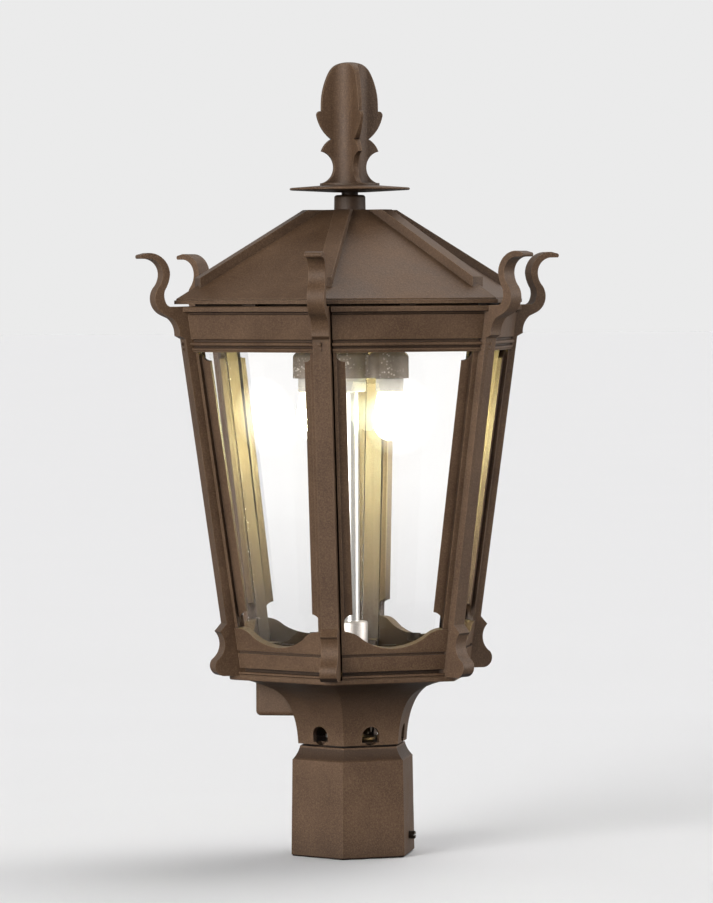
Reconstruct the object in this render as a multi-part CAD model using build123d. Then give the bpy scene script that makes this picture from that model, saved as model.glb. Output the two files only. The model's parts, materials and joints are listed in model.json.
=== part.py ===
"""Six-sided cast post top lantern with two inverted gas mantles.

Millimetres, +Z up. The origin is on the axis at the bottom rim of the post collar.
Corner posts stand at -90, -30, 30, 90, 150 and 210 degrees; faces lie between them.
"""

from build123d import *
from math import atan, cos, radians, sin, sqrt, tan
import os

os.makedirs("parts", exist_ok=True)

# ---------------------------------------------------------------- driving dimensions
SIDES = 6
STEP_ANGLE = 360 / SIDES
HALF_ANGLE = STEP_ANGLE / 2
HEX = cos(radians(HALF_ANGLE))  # apothem of a hexagon over its corner radius
FACES = {  # name of each face and the direction it looks in
    "front_right": -60,
    "right": 0,
    "back_right": 60,
    "back_left": 120,
    "left": 180,
    "front_left": 240,
}
SCREW_CLEARANCE = 0.25  # round a screw in its hole, on radius
RUNNING = 0.05  # round a turning or sliding fit, on radius

# Post collar
POST_R = 38.1  # three inch post
POST_CLEARANCE = 0.3  # round the post, on radius
SOCKET_R = POST_R + POST_CLEARANCE
SOCKET_DEPTH = 70.0
COLLAR_LOW_A, COLLAR_HIGH_A = 43.0, 42.0  # apothems at the foot and below the cove
COLLAR_COVE_Z, COLLAR_TOP = 72.5, 82.8
COLLAR_TOP_A = 36.6
GAS_PASSAGE_R = 14.0
SET_SCREW_R, SET_SCREW_Z, SET_SCREW_OUT = 3.0, 14.2, 4.6
SET_SCREW_FACES = (0, 120)

# Bell under the lantern
BELL_BOTTOM = COLLAR_TOP + 1.7  # the bell's seat leaves a shadow line over the collar
BELL_TOP = BELL_BOTTOM + 49.7
BELL_WALL = 4.0
BELL_FLARE = [(37.9, 0), (39.3, 13.5), (41.8, 23.5), (48.0, 35.5), (56.0, 42.0), (65.0, 46.1), (76.0, 49.7)]
BELL_FLOOR_TOP = BELL_BOTTOM + 1.9
BELL_SEAT_R = 33.0
BELL_SCREW_RING, PLATE_SCREW_RING = 22.0, 55.0
SCREW_R, HEAD_R, HEAD_H = 2.0, 3.6, 2.4  # the small screws, all of one size
VENT_W, VENT_H = 14.0, 12.0

# Base plate
PLATE_A = 85.4
PLATE_TOP = BELL_TOP + 3.3
PLATE_CORNER = 5.0
AIR_HOLE_R, AIR_HOLE_RING = 6.0, 44.0

# Side castings
LEAN = 0.1258  # how far a face leans out for each unit of height
FACE_A_TOP, FACE_Z_TOP = 113.0, 380.0
SIDE_BOTTOM = PLATE_TOP
SIDE_TOP = SIDE_BOTTOM + 275.7
FRAME_T = 6.8
STRIP_RECESS = 3.0
STRIP_W = 7.85
WINDOW_TOP, NOTCH_LOW = SIDE_TOP - 33.8, SIDE_BOTTOM + 40.5
WINDOW_HALF, WINDOW_HALF_Z = 40.6, 343.4
BAR_W, BAR_DEPTH, BAR_R_TOP = 12.7, 13.5, 132.0
SPUR_Z, HORN_Z = SIDE_BOTTOM + 39.0, SIDE_TOP - 24.1
CORNER_GAP = 1.3
WAVE_MID, WAVE_END = SIDE_BOTTOM + 22.7, SIDE_BOTTOM + 36.0
WAVE_R_LOW, WAVE_R_HIGH = 36.0, 20.7
SKIRT_PROUD = 0.8
FRIEZE_PROUD = 1.8
CROWN_A = 121.6
LUG_Z = (SIDE_BOTTOM + 12.5, SIDE_TOP - 15.2)
LUG_H, LUG_D, EAR_T, LUG_SUNK = 12.0, 10.0, 5.0, 2.0
BOLT_ROOM_R, BOLT_ROOM = 4.2, 8.0  # room for a corner bolt's head
FRAME_SCREW_Y = 26.0
FLANGE_T, FLANGE_D = 3.5, 13.0

# Glass
GLASS_T = 3.0
GLASS_LAP = 4.5
GLASS_LOW, GLASS_HIGH = SIDE_BOTTOM + 18.5, WINDOW_TOP + 6.6

# Bridge bar, tie rod and top
BRIDGE_Z, BRIDGE_T, BRIDGE_W = SIDE_TOP - 13.2, 4.0, 20.0
BRIDGE_LUG_D = 14.0
TIE_R = 3.0
EAVE_A, EAVE_LOW = 121.2, SIDE_TOP + 1.8
EAVE_HIGH = EAVE_LOW + 3.6
ROOF_SLOPE_A, ROOF_TOP_A, ROOF_INNER_A = 119.8, 22.7, 110.5
ROOF_TOP = EAVE_LOW + 70.0
ROOF_WALL = 4.0
LIP_A, LIP_T, LIP_LOW = 105.5, 2.0, EAVE_LOW - 5.5  # rim that drops inside the castings
TIE_TOP = ROOF_TOP + 55.0
RIB_W, RIB_END_R, RIB_TOP_R = 12.0, 121.5, 35.5
RIB_SLOPE = 0.588
BOSS_R, BOSS_TOP = 12.0, ROOF_TOP + 11.3
SPACER_R, SPACER_TOP = 6.2, BOSS_TOP + 2.0
DISC_R, DISC_EDGE, DISC_MID = 45.2, 1.8, 5.0
DISC_Z = SPACER_TOP
FINIAL_BASE = DISC_Z + DISC_MID
FIN_ANGLE = -60.0  # one fin looks the same way as the front right face

# Burner
BURNER_TOP = WINDOW_TOP + 3.6
BURNER_LOW = BURNER_TOP - 24.5
BURNER_LOBE_R, BURNER_HUB_R, MANTLE_X = 14.4, 14.9, 29.6
BURNER_ROUND, WAY_W = 5.5, 16.0
WEB_X, WEB_Y, WEB_R = 21.4, 6.6, 7.2
NOZZLE_BORE_R = 5.0
NOZZLE_R, NOZZLE_LOW = 10.5, BURNER_LOW - 10.5
MANTLE_R, MANTLE_LOW, MANTLE_WALL = 11.5, NOZZLE_LOW - 36.5, 0.8
MANTLE_NECK_R = 9.6
TUBE_R, TUBE_WALL = 5.9, 1.3
UNION_R = 10.4
MIXER_R, MIXER_LOW, MIXER_TOP = 11.9, PLATE_TOP - 19.5, PLATE_TOP + 38.0
SPIGOT_R, PORT_R = 9.9, 3.0
SHUTTER_R, SHUTTER_LOW, SHUTTER_H = 14.5, MIXER_LOW + 4.0, 8.5
COCK_R, COCK_LOW, COCK_TOP = 9.0, COLLAR_TOP + 5.2, COLLAR_TOP + 27.2
COCK_PLUG_R, COCK_Z = 4.0, COCK_LOW + 9.0
INLET_R, INLET_WALL, INLET_LOW = 4.3, 3.2, COCK_LOW - 16.0
SEAT_FLANGE_T, SEAT_PLUG = 1.6, 4.0

# Control box under the left face
BOX_OUT, BOX_IN, BOX_HALF_W = 70.5, 30.0, 22.0
BOX_LOW, BOX_WALL = BELL_TOP - 29.2, 3.0
BOX_ROUND, BOX_LOW_ROUND = 4.0, 3.5


def face_a(z):
    """Apothem of the leaning outer face of the stiles at height z."""
    return FACE_A_TOP - LEAN * (FACE_Z_TOP - z)


def bar_r(z):
    """Radius of the outer face of a corner post at height z."""
    return BAR_R_TOP - LEAN / HEX * (FACE_Z_TOP - z)


def around(shape, angle):
    """The shape turned about the lantern's axis."""
    return Rot(0, 0, angle) * shape


def solid_of(shape):
    """The one solid of a finished shape."""
    found = shape.solids()
    assert len(found) == 1, f"{len(found)} solids"
    return found[0]


def hex_prism(apothem, low, high):
    """Upright hexagonal prism with its corners where the lantern's corners are."""
    plan = RegularPolygon(apothem / HEX, SIDES, rotation=HALF_ANGLE)
    return Pos(0, 0, low) * extrude(plan, high - low)


def hex_vault(profile):
    """Solid whose six faces all follow one profile of (apothem, z) edges.

    The profile is a closed face drawn on the XZ plane, symmetric about the axis.
    Three crossing extrusions of it leave a six-sided body with mitred corners.
    """
    reach = 2 * EAVE_A
    prism = extrude(Plane.XZ * profile, reach, both=True)
    body = prism
    for angle in (STEP_ANGLE, 2 * STEP_ANGLE):
        body = body & around(prism, angle)
    return body


def mirrored_face(edges):
    """Closed face from the right-hand outline edges, mirrored in the axis."""
    half = Curve() + edges
    other = mirror(half, Plane.YZ)
    return make_face(Wire(half.edges() + other.edges()))


def mirrored_polygon(points):
    """Closed face from the right-hand outline points, mirrored in the axis."""
    other = [(-x, y) for x, y in reversed(points)]
    return make_face(Polyline(*points, *other, close=True))


def screw_angle(k):
    """Direction of one of three screws, set under the corners."""
    return HALF_ANGLE + 120 * k


# ---------------------------------------------------------------- collar and bell
def post_collar():
    """Hexagonal cast collar that slips over the post, with a cove round its top."""
    low_c, high_c = COLLAR_LOW_A, COLLAR_HIGH_A
    cove_mid = (COLLAR_TOP_A + 1.6, COLLAR_COVE_Z + 5.6)
    outline = [
        Line((0, 0), (low_c - 1.2, 0)),
        Line((low_c - 1.2, 0), (low_c, 1.2)),
        Line((low_c, 1.2), (high_c, COLLAR_COVE_Z)),
        ThreePointArc((high_c, COLLAR_COVE_Z), cove_mid, (COLLAR_TOP_A, COLLAR_TOP)),
        Line((COLLAR_TOP_A, COLLAR_TOP), (0, COLLAR_TOP)),
    ]
    body = hex_vault(mirrored_face(outline))
    body -= Pos(0, 0, SOCKET_DEPTH / 2) * Cylinder(SOCKET_R, SOCKET_DEPTH)
    ceiling = COLLAR_TOP - SOCKET_DEPTH
    body -= Pos(0, 0, SOCKET_DEPTH + ceiling / 2) * Cylinder(GAS_PASSAGE_R, ceiling)
    for angle in SET_SCREW_FACES:
        hole = Pos(SOCKET_R, 0, SET_SCREW_Z) * Rot(0, 90, 0) * Cylinder(SET_SCREW_R + RUNNING, 20)
        body -= around(hole, angle)
    for k in range(3):
        tapped = Pos(BELL_SCREW_RING, 0, COLLAR_TOP - 5) * Cylinder(SCREW_R + RUNNING, 10)
        body -= around(tapped, screw_angle(k))
    return body


def collar_set_screws():
    """Two round-ended screws that lock the collar to the post."""
    screws = []
    for angle in SET_SCREW_FACES:
        length = COLLAR_LOW_A + SET_SCREW_OUT - SOCKET_R
        screw = Pos(SOCKET_R + length / 2, 0, SET_SCREW_Z) * Rot(0, 90, 0) * Cylinder(SET_SCREW_R, length)
        screw = chamfer(screw.edges().filter_by(GeomType.CIRCLE), 0.6)
        slot = Pos(SOCKET_R + length, 0, SET_SCREW_Z) * Box(2.4, 10, 1.0)
        screws.append(around(screw - slot, angle))
    return Compound([solid_of(screw) for screw in screws])


def bell_envelope(inset, low, high):
    """The bell's flared six-sided form between two heights, drawn in by inset."""
    points = [(a - inset, BELL_BOTTOM + rise) for a, rise in BELL_FLARE]
    flare = Spline(*points, tangents=((0.05, 1), (1, 0.28)))
    foot, lip = points[0], points[-1]
    above = BELL_TOP + 20
    outline = [
        Line((0, foot[1]), foot),
        flare,
        Line(lip, (lip[0], above)),
        Line((lip[0], above), (0, above)),
    ]
    return hex_vault(mirrored_face(outline)) & hex_prism(PLATE_A, low, high)


def base_bell():
    """Flared hexagonal bell with an arched air vent at the foot of each face."""
    body = bell_envelope(0, BELL_BOTTOM, BELL_TOP)
    body -= bell_envelope(BELL_WALL, BELL_FLOOR_TOP, BELL_TOP + 4)
    seat = Pos(0, 0, (COLLAR_TOP + BELL_FLOOR_TOP) / 2) * Cylinder(BELL_SEAT_R, BELL_FLOOR_TOP - COLLAR_TOP)
    body += seat
    body -= Pos(0, 0, BELL_BOTTOM) * Cylinder(GAS_PASSAGE_R, 6)
    arch = Rectangle(VENT_W, VENT_H - VENT_W / 2, align=(Align.CENTER, Align.MIN))
    arch += Pos(0, VENT_H - VENT_W / 2) * Circle(VENT_W / 2)
    cutter = Plane.YZ * extrude(arch, 12)
    for angle in FACES.values():
        body -= around(Pos(BELL_SEAT_R - 1, 0, BELL_FLOOR_TOP) * cutter, angle)
    for k in range(3):
        hole = Pos(BELL_SCREW_RING, 0, BELL_BOTTOM) * Cylinder(SCREW_R + SCREW_CLEARANCE, 8)
        body -= around(hole, screw_angle(k))
        boss = Pos(PLATE_SCREW_RING, 0, BELL_TOP - 7) * Cylinder(5, 14)
        body += around(boss, screw_angle(k)) & bell_envelope(1.0, BELL_BOTTOM, BELL_TOP)
        tapped = Pos(PLATE_SCREW_RING, 0, BELL_TOP - 4.5) * Cylinder(SCREW_R + RUNNING, 9)
        body -= around(tapped, screw_angle(k))
    return body


def cap_screw(length):
    """Slotted screw standing head up with the underside of its head at the origin."""
    shank = Pos(0, 0, -length / 2) * Cylinder(SCREW_R, length)
    head = Pos(0, 0, HEAD_H / 2) * Cylinder(HEAD_R, HEAD_H)
    slot = Pos(0, 0, HEAD_H) * Box(2 * HEAD_R, 1.0, HEAD_H)
    return shank + head - slot


def bell_screws():
    """Three screws that hold the bell down on the collar."""
    screw = Pos(BELL_SCREW_RING, 0, BELL_FLOOR_TOP) * cap_screw(10)
    return Compound([solid_of(around(screw, screw_angle(k))) for k in range(3)])


# ---------------------------------------------------------------- base plate
def base_plate():
    """Hexagonal floor plate with a softened rim, air holes and the mixer's hole."""
    body = hex_prism(PLATE_A, BELL_TOP, PLATE_TOP)
    body = fillet(body.edges().filter_by(Axis.Z), PLATE_CORNER)
    rim = [e for e in body.edges() if abs(e.center().Z - BELL_TOP) < 0.01]
    body = fillet(rim, 1.2)
    middle = (BELL_TOP + PLATE_TOP) / 2
    body -= Pos(0, 0, middle) * Cylinder(SPIGOT_R + RUNNING, 8)
    for angle in FACES.values():
        body -= around(Pos(AIR_HOLE_RING * HEX, 0, middle) * Cylinder(AIR_HOLE_R, 8), angle)
        for side in (-1, 1):
            spot = Pos(flange_hole_x(), side * FRAME_SCREW_Y, middle)
            body -= around(spot * Cylinder(SCREW_R + RUNNING, 8), angle)
    for k in range(3):
        hole = Pos(PLATE_SCREW_RING, 0, middle) * Cylinder(SCREW_R + SCREW_CLEARANCE, 8)
        body -= around(hole, screw_angle(k))
    return body


def plate_screws():
    """Three screws down through the plate into the bell's bosses."""
    screw = Pos(PLATE_SCREW_RING, 0, PLATE_TOP) * cap_screw(9)
    return Compound([solid_of(around(screw, screw_angle(k))) for k in range(3)])


# ---------------------------------------------------------------- side castings
def flange_hole_x():
    """Distance out of the screws in a side casting's bottom flange."""
    return face_a(SIDE_BOTTOM) - FRAME_T - FLANGE_D / 2


def face_plane(depth=0.0):
    """Leaning plane of the face on +X, sunk by depth; its y runs up the slope."""
    lean = atan(LEAN)
    outward = Vector(cos(lean), 0, -sin(lean))
    origin = Vector(face_a(SIDE_BOTTOM), 0, SIDE_BOTTOM) - outward * depth
    return Plane(origin=origin, x_dir=(0, 1, 0), z_dir=outward)


def up_slope(z):
    """Distance up the leaning face of a point at height z on its outer plane."""
    return (z - SIDE_BOTTOM) / cos(atan(LEAN))


def half_open(z, extra=0.0):
    """Half the clear width between the inner strips at height z."""
    return WINDOW_HALF - LEAN * tan(radians(HALF_ANGLE)) * (WINDOW_HALF_Z - z) + extra


def slope_band(low, high, extra):
    """Trapezoid on the leaning face between two heights, wider by extra each side."""
    a, b = half_open(low, extra), half_open(high, extra)
    points = [(-a, up_slope(low)), (a, up_slope(low)), (b, up_slope(high)), (-b, up_slope(high))]
    return make_face(Polyline(*points, close=True))


def on_face(sketch, depth, thickness):
    """Extrude a sketch of the leaning face inwards from a given depth."""
    return extrude(face_plane(depth) * sketch, -thickness)


def wave_skirt():
    """Skirt panel outline whose top edge rises in an ogee to each post."""
    half = half_open(WAVE_END, STRIP_W)
    reach = half + 20
    mid, end = up_slope(WAVE_MID), up_slope(WAVE_END)
    cross = WAVE_R_LOW / (WAVE_R_LOW + WAVE_R_HIGH)
    join = (half * cross, mid + (end - mid) * cross)
    low_mid = (join[0] * 0.52, mid + (join[1] - mid) * 0.25)
    high_mid = (half - (half - join[0]) * 0.52, end - (end - join[1]) * 0.25)
    right = [
        ThreePointArc((0, mid), low_mid, join),
        ThreePointArc(join, high_mid, (half, end)),
        Line((half, end), (reach, end)),
        Line((reach, end), (reach, 0)),
        Line((reach, 0), (0, 0)),
    ]
    return mirrored_face(right)


def bead_profile(outline):
    """Face on the XZ plane from a closed list of (apothem, z) points."""
    return make_face(Polyline(*outline, close=True))


def along_face(profile):
    """Run a moulding's profile along the face, past both of its ends."""
    return extrude(Plane.XZ * profile, 90, both=True)


def frieze():
    """Moulded head of a side casting: crown, flat panel and two beads."""
    back_low, back_high = face_a(WINDOW_TOP) - FRAME_T - 0.05, face_a(SIDE_TOP) - FRAME_T - 0.05
    panel_high, panel_low = face_a(SIDE_TOP - 6.0) + FRIEZE_PROUD, face_a(SIDE_TOP - 24.2) + FRIEZE_PROUD

    def low_bead(out, down):
        """Point of the lower mouldings, out from the panel and down from the top."""
        return (panel_low + out, SIDE_TOP - down)

    upper = [low_bead(-0.3, 26.5), low_bead(0.5, 27.8), low_bead(-0.4, 29.1)]
    lower = [low_bead(-1.2, 30.7), low_bead(-0.6, 31.8), low_bead(-1.5, 33.0)]
    points = [
        (back_high, SIDE_TOP),
        (CROWN_A - 0.8, SIDE_TOP),
        (CROWN_A, SIDE_TOP - 0.8),
        (CROWN_A, SIDE_TOP - 3.8),
        (panel_high - 0.9, SIDE_TOP - 4.6),
        (panel_high - 0.9, SIDE_TOP - 5.6),
        (panel_high, SIDE_TOP - 6.4),
        low_bead(0, 24.2),
        low_bead(-1.8, 24.8),
        low_bead(-1.8, 26.2),
    ]
    edges = [
        Polyline(*points, upper[0]),
        ThreePointArc(*upper),
        Polyline(upper[2], low_bead(-2.2, 29.3), low_bead(-2.2, 30.4), lower[0]),
        ThreePointArc(*lower),
        Polyline(lower[2], (lower[2][0], WINDOW_TOP), (back_low, WINDOW_TOP), (back_high, SIDE_TOP)),
    ]
    return along_face(make_face(Wire(Curve() + edges)))


def skirt_cuts():
    """Grooves run along the skirt under the wave and above the bottom bead."""
    line_z, recess_z = SIDE_BOTTOM + 17.2, SIDE_BOTTOM + 3.2
    face = face_a(line_z) + SKIRT_PROUD
    ends = [(face - 1.4, line_z), (face + 3, line_z - 0.5), (face + 3, line_z + 2.3), (face - 1.4, line_z + 1.8)]
    low = face_a(recess_z)
    recess = [(low - 3, recess_z), (low + 6, recess_z), (low + 6, recess_z + 2.8), (low - 3, recess_z + 2.8)]
    return along_face(bead_profile(ends)) + along_face(bead_profile(recess))


def bottom_bead():
    """Rounded bead along the foot of the skirt."""
    low, out = face_a(SIDE_BOTTOM), face_a(SIDE_BOTTOM) + 2.4
    high = SIDE_BOTTOM + 3.2
    edges = [
        Polyline((low - 5, SIDE_BOTTOM), (out - 0.7, SIDE_BOTTOM), (out - 0.7, SIDE_BOTTOM + 1.0)),
        ThreePointArc((out - 0.7, SIDE_BOTTOM + 1.0), (out, SIDE_BOTTOM + 2.1), (out - 0.7, high)),
        Polyline((out - 0.7, high), (low - 5, high), (low - 5, SIDE_BOTTOM)),
    ]
    return along_face(make_face(Wire(Curve() + edges)))


def lug_radius(z):
    """Distance from the axis to the middle of the lugs behind a corner post."""
    return bar_r(z) - BAR_DEPTH - LUG_D / 2


def corner_bar():
    """Corner post with its foot, spur and scrolled horn, in one radial profile."""
    inner_low, inner_high = bar_r(SIDE_BOTTOM) - BAR_DEPTH, bar_r(SIDE_TOP) - BAR_DEPTH

    def foot(out, up):
        """Point of the foot, out and up from where the post meets the plate."""
        return (bar_r(SIDE_BOTTOM) + out, SIDE_BOTTOM + up)

    def horn(out, up):
        """Point of the horn, out and up from the ledge that it springs from."""
        return (bar_r(HORN_Z) + out, HORN_Z + up)

    edges = [
        Line((inner_high, SIDE_TOP), (inner_low, SIDE_BOTTOM)),
        Line((inner_low, SIDE_BOTTOM), foot(7.7, 0)),
        # foot bulb, waist and pointed spur
        ThreePointArc(foot(7.7, 0), foot(13.8, 3.8), foot(13.1, 12.0)),
        ThreePointArc(foot(13.1, 12.0), foot(7.6, 19.7), foot(10.9, 33.1)),
        Line(foot(10.9, 33.1), (bar_r(SPUR_Z), SPUR_Z)),
        Line((bar_r(SPUR_Z), SPUR_Z), horn(0, 0)),
        # ledge, outer sweep of the horn, then back down its inner side
        Line(horn(0, 0), horn(4.6, 2.4)),
        ThreePointArc(horn(4.6, 2.4), horn(6.0, 10.0), horn(10.1, 15.3)),
        Line(horn(10.1, 15.3), horn(15.6, 17.8)),
        ThreePointArc(horn(15.6, 17.8), horn(23.2, 26.9), horn(21.3, 37.9)),
        ThreePointArc(horn(21.3, 37.9), horn(18.3, 42.6), horn(17.2, 47.8)),
        ThreePointArc(horn(17.2, 47.8), horn(20.7, 56.4), horn(29.1, 59.7)),
        Line(horn(29.1, 59.7), horn(33.8, 59.7)),
        ThreePointArc(horn(33.8, 59.7), horn(34.7, 61.2), horn(33.8, 62.7)),
        Line(horn(33.8, 62.7), horn(28.5, 64.0)),
        ThreePointArc(horn(28.5, 64.0), horn(16.7, 59.4), horn(11.8, 48.1)),
        ThreePointArc(horn(11.8, 48.1), horn(13.1, 41.9), horn(15.9, 36.1)),
        ThreePointArc(horn(15.9, 36.1), horn(16.3, 30.5), horn(14.1, 25.3)),
        Polyline(horn(14.1, 25.3), horn(12.1, 24.1), (inner_high, SIDE_TOP)),
    ]
    profile = make_face(Wire(Curve() + edges))
    bar = extrude(Plane.XZ * profile, BAR_W / 2, both=True)
    for z in LUG_Z:
        bar += Pos(lug_radius(z) + 1, 0, z) * Box(LUG_D + 2, BAR_W, LUG_H)
        tapped = Pos(lug_radius(z), BAR_W / 4, z) * Rot(90, 0, 0)
        bar -= tapped * Cylinder(SCREW_R + RUNNING, BAR_W / 2)
    return around(bar, HALF_ANGLE)


def corner_lug(z):
    """Ear on a casting's free end that bears on the next casting's post."""
    ear = Pos(lug_radius(z) + 1, (BAR_W + EAR_T) / 2, z) * Box(LUG_D + 2, EAR_T, LUG_H)
    arm = Pos(lug_radius(z) + 4, BAR_W / 2 + CORNER_GAP + 5, z) * Box(LUG_D + 4, 10, LUG_H)
    behind = on_face(slope_band(SIDE_BOTTOM, SIDE_TOP, PLATE_A), LUG_SUNK, PLATE_A)
    return around(ear + arm, -HALF_ANGLE) & behind


def corner_bolt_room(z):
    """Clearance for a corner bolt and its head in the free end of a casting."""
    through = BAR_W / 2 + EAR_T + BOLT_ROOM
    across = Pos(lug_radius(z), 0, z) * Rot(-90, 0, 0)
    hole = across * Pos(0, 0, through / 2) * Cylinder(SCREW_R + SCREW_CLEARANCE, through)
    room = across * Pos(0, 0, through - BOLT_ROOM / 2) * Cylinder(BOLT_ROOM_R, BOLT_ROOM)
    return around(hole + room, -HALF_ANGLE)


def side_casting():
    """One face of the lantern: stiles, frieze, waved skirt and the post on its right."""
    slab = on_face(slope_band(SIDE_BOTTOM, SIDE_TOP, 40), 0, FRAME_T)
    skirt_z, notch_top = SIDE_BOTTOM + 12.5, WINDOW_TOP + 0.6
    window = slope_band(skirt_z, WINDOW_TOP + 0.4, 0)
    wide_low = slope_band(skirt_z, NOTCH_LOW, STRIP_W)
    cut = on_face(window, -1, FRAME_T + 2) + on_face(wide_low, -1, FRAME_T + 2)
    for z in (notch_top, NOTCH_LOW):
        for side in (-1, 1):
            spot = Pos(side * half_open(z), up_slope(z)) * Circle(STRIP_W)
            cut += on_face(spot, -1, FRAME_T + 2)
    recess = on_face(slope_band(skirt_z, WINDOW_TOP + 1, STRIP_W), -1, STRIP_RECESS + 1)
    body = slab - cut - recess
    body += on_face(wave_skirt(), -SKIRT_PROUD, FRAME_T + SKIRT_PROUD)
    body += frieze()
    body += bottom_bead()
    body -= skirt_cuts()
    flange_x = face_a(SIDE_BOTTOM) - FRAME_T
    flange = Pos(flange_x - FLANGE_D / 2 + 2, 0, SIDE_BOTTOM + FLANGE_T / 2)
    body += flange * Box(FLANGE_D + 4, 2 * FRAME_SCREW_Y + 14, FLANGE_T)
    for side in (-1, 1):
        spot = Pos(flange_hole_x(), side * FRAME_SCREW_Y, SIDE_BOTTOM + FLANGE_T / 2)
        body -= spot * Cylinder(SCREW_R + SCREW_CLEARANCE, FLANGE_T + 2)
    body += Pos(bridge_screw_x() + 3, 0, BRIDGE_Z - 4) * Box(BRIDGE_LUG_D + 4, 24, 8)
    body -= Pos(bridge_screw_x(), 0, BRIDGE_Z - 4) * Cylinder(SCREW_R + RUNNING, 10)
    body = body & hex_prism(1.5 * CROWN_A, SIDE_BOTTOM, SIDE_TOP)
    side, high = 3 * CROWN_A, 3 * SIDE_TOP
    keep_left = Pos(0, BAR_W / 2 + CORNER_GAP, 0) * Box(side, side, high, align=(Align.CENTER, Align.MIN, Align.CENTER))
    keep_right = Box(side, side, high, align=(Align.CENTER, Align.MAX, Align.CENTER))
    body = body & around(keep_left, -HALF_ANGLE) & around(keep_right, HALF_ANGLE)
    for z in LUG_Z:
        body += corner_lug(z)
        body -= corner_bolt_room(z)
    body += corner_bar()
    return body


def corner_bolts():
    """Twelve bolts, two at each corner, that draw the castings together."""
    bolts = []
    for angle in FACES.values():
        for z in LUG_Z:
            bolt = Pos(lug_radius(z), BAR_W / 2 + EAR_T, z) * Rot(-90, 0, 0) * cap_screw(9)
            bolts.append(around(around(bolt, -HALF_ANGLE), angle))
    return Compound([solid_of(bolt) for bolt in bolts])


def frame_screws():
    """Twelve screws that hold the side castings' flanges to the base plate."""
    screws = []
    seat = SIDE_BOTTOM + FLANGE_T
    for angle in FACES.values():
        for side in (-1, 1):
            spot = Pos(flange_hole_x(), side * FRAME_SCREW_Y, seat)
            screws.append(around(spot * cap_screw(6.5), angle))
    return Compound([solid_of(screw) for screw in screws])


# ---------------------------------------------------------------- glass
def glass_pane():
    """Flat tapered pane that lies against the back of its frame."""
    return on_face(slope_band(GLASS_LOW, GLASS_HIGH, GLASS_LAP), FRAME_T, GLASS_T)


def glass_clips():
    """Bent spring clips that press each pane against its frame, top and bottom."""
    clips = []
    width, gauge, lap, foot = 12.0, 0.9, 5.0, 4.4
    for z, up in ((GLASS_LOW, 1), (GLASS_HIGH, -1)):
        edge = up_slope(z)
        riser = Pos(0, edge - up * (0.2 + gauge / 2)) * Rectangle(width, gauge)
        base = Pos(0, edge - up * (0.2 + foot / 2)) * Rectangle(width, foot)
        web = Pos(0, edge + up * (lap - 0.2 - gauge) / 2) * Rectangle(width, lap + 0.2 + gauge)
        clip = on_face(web, FRAME_T + GLASS_T, gauge)
        clip += on_face(riser, FRAME_T, GLASS_T + gauge)
        clip += on_face(base, FRAME_T, gauge)
        clips.append(solid_of(clip))
    return Compound([around(clip, angle).solids()[0] for angle in FACES.values() for clip in clips])


# ---------------------------------------------------------------- bridge, tie rod, roof
def bridge_bar():
    """Flat bar across the frame's head that carries the tie rod."""
    half = face_a(BRIDGE_Z) - FRAME_T - 1.5
    bar = Pos(0, 0, BRIDGE_Z + BRIDGE_T / 2) * Box(2 * half, BRIDGE_W, BRIDGE_T)
    bar = fillet(bar.edges().filter_by(Axis.Z), 4)
    bar += Pos(0, 0, BRIDGE_Z + BRIDGE_T + 3) * Cylinder(8, 6)
    bar -= Pos(0, 0, BRIDGE_Z) * Cylinder(TIE_R + RUNNING, 40)
    for side in (-1, 1):
        spot = Pos(side * bridge_screw_x(), 0, BRIDGE_Z)
        bar -= spot * Cylinder(SCREW_R + SCREW_CLEARANCE, 20)
    return bar


def bridge_screw_x():
    """Distance out of the screws that hold the bridge bar."""
    return face_a(BRIDGE_Z) - FRAME_T - BRIDGE_LUG_D / 2 - 1


def bridge_screws():
    """Two screws that hold the bridge bar on its lugs."""
    seat = BRIDGE_Z + BRIDGE_T
    return Compound([solid_of(Pos(side * bridge_screw_x(), 0, seat) * cap_screw(10)) for side in (-1, 1)])


def hex_nut(hole_r, across, height):
    """Plain hexagon nut standing on the origin."""
    nut = extrude(RegularPolygon(across / 2 / HEX, 6), height)
    return nut - Pos(0, 0, height / 2) * Cylinder(hole_r, height + 2)


def tie_rod():
    """Long stud from the bridge bar up through the roof into the finial."""
    low = BRIDGE_Z - 9
    return Pos(0, 0, (low + TIE_TOP) / 2) * Cylinder(TIE_R, TIE_TOP - low)


def tie_nuts():
    """Two nuts that lock the tie rod to the bridge bar."""
    below = Pos(0, 0, BRIDGE_Z - 5) * hex_nut(TIE_R + RUNNING, 10, 5)
    above = Pos(0, 0, BRIDGE_Z + BRIDGE_T + 6) * hex_nut(TIE_R + RUNNING, 10, 5)
    return Compound([solid_of(below), solid_of(above)])


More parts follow.
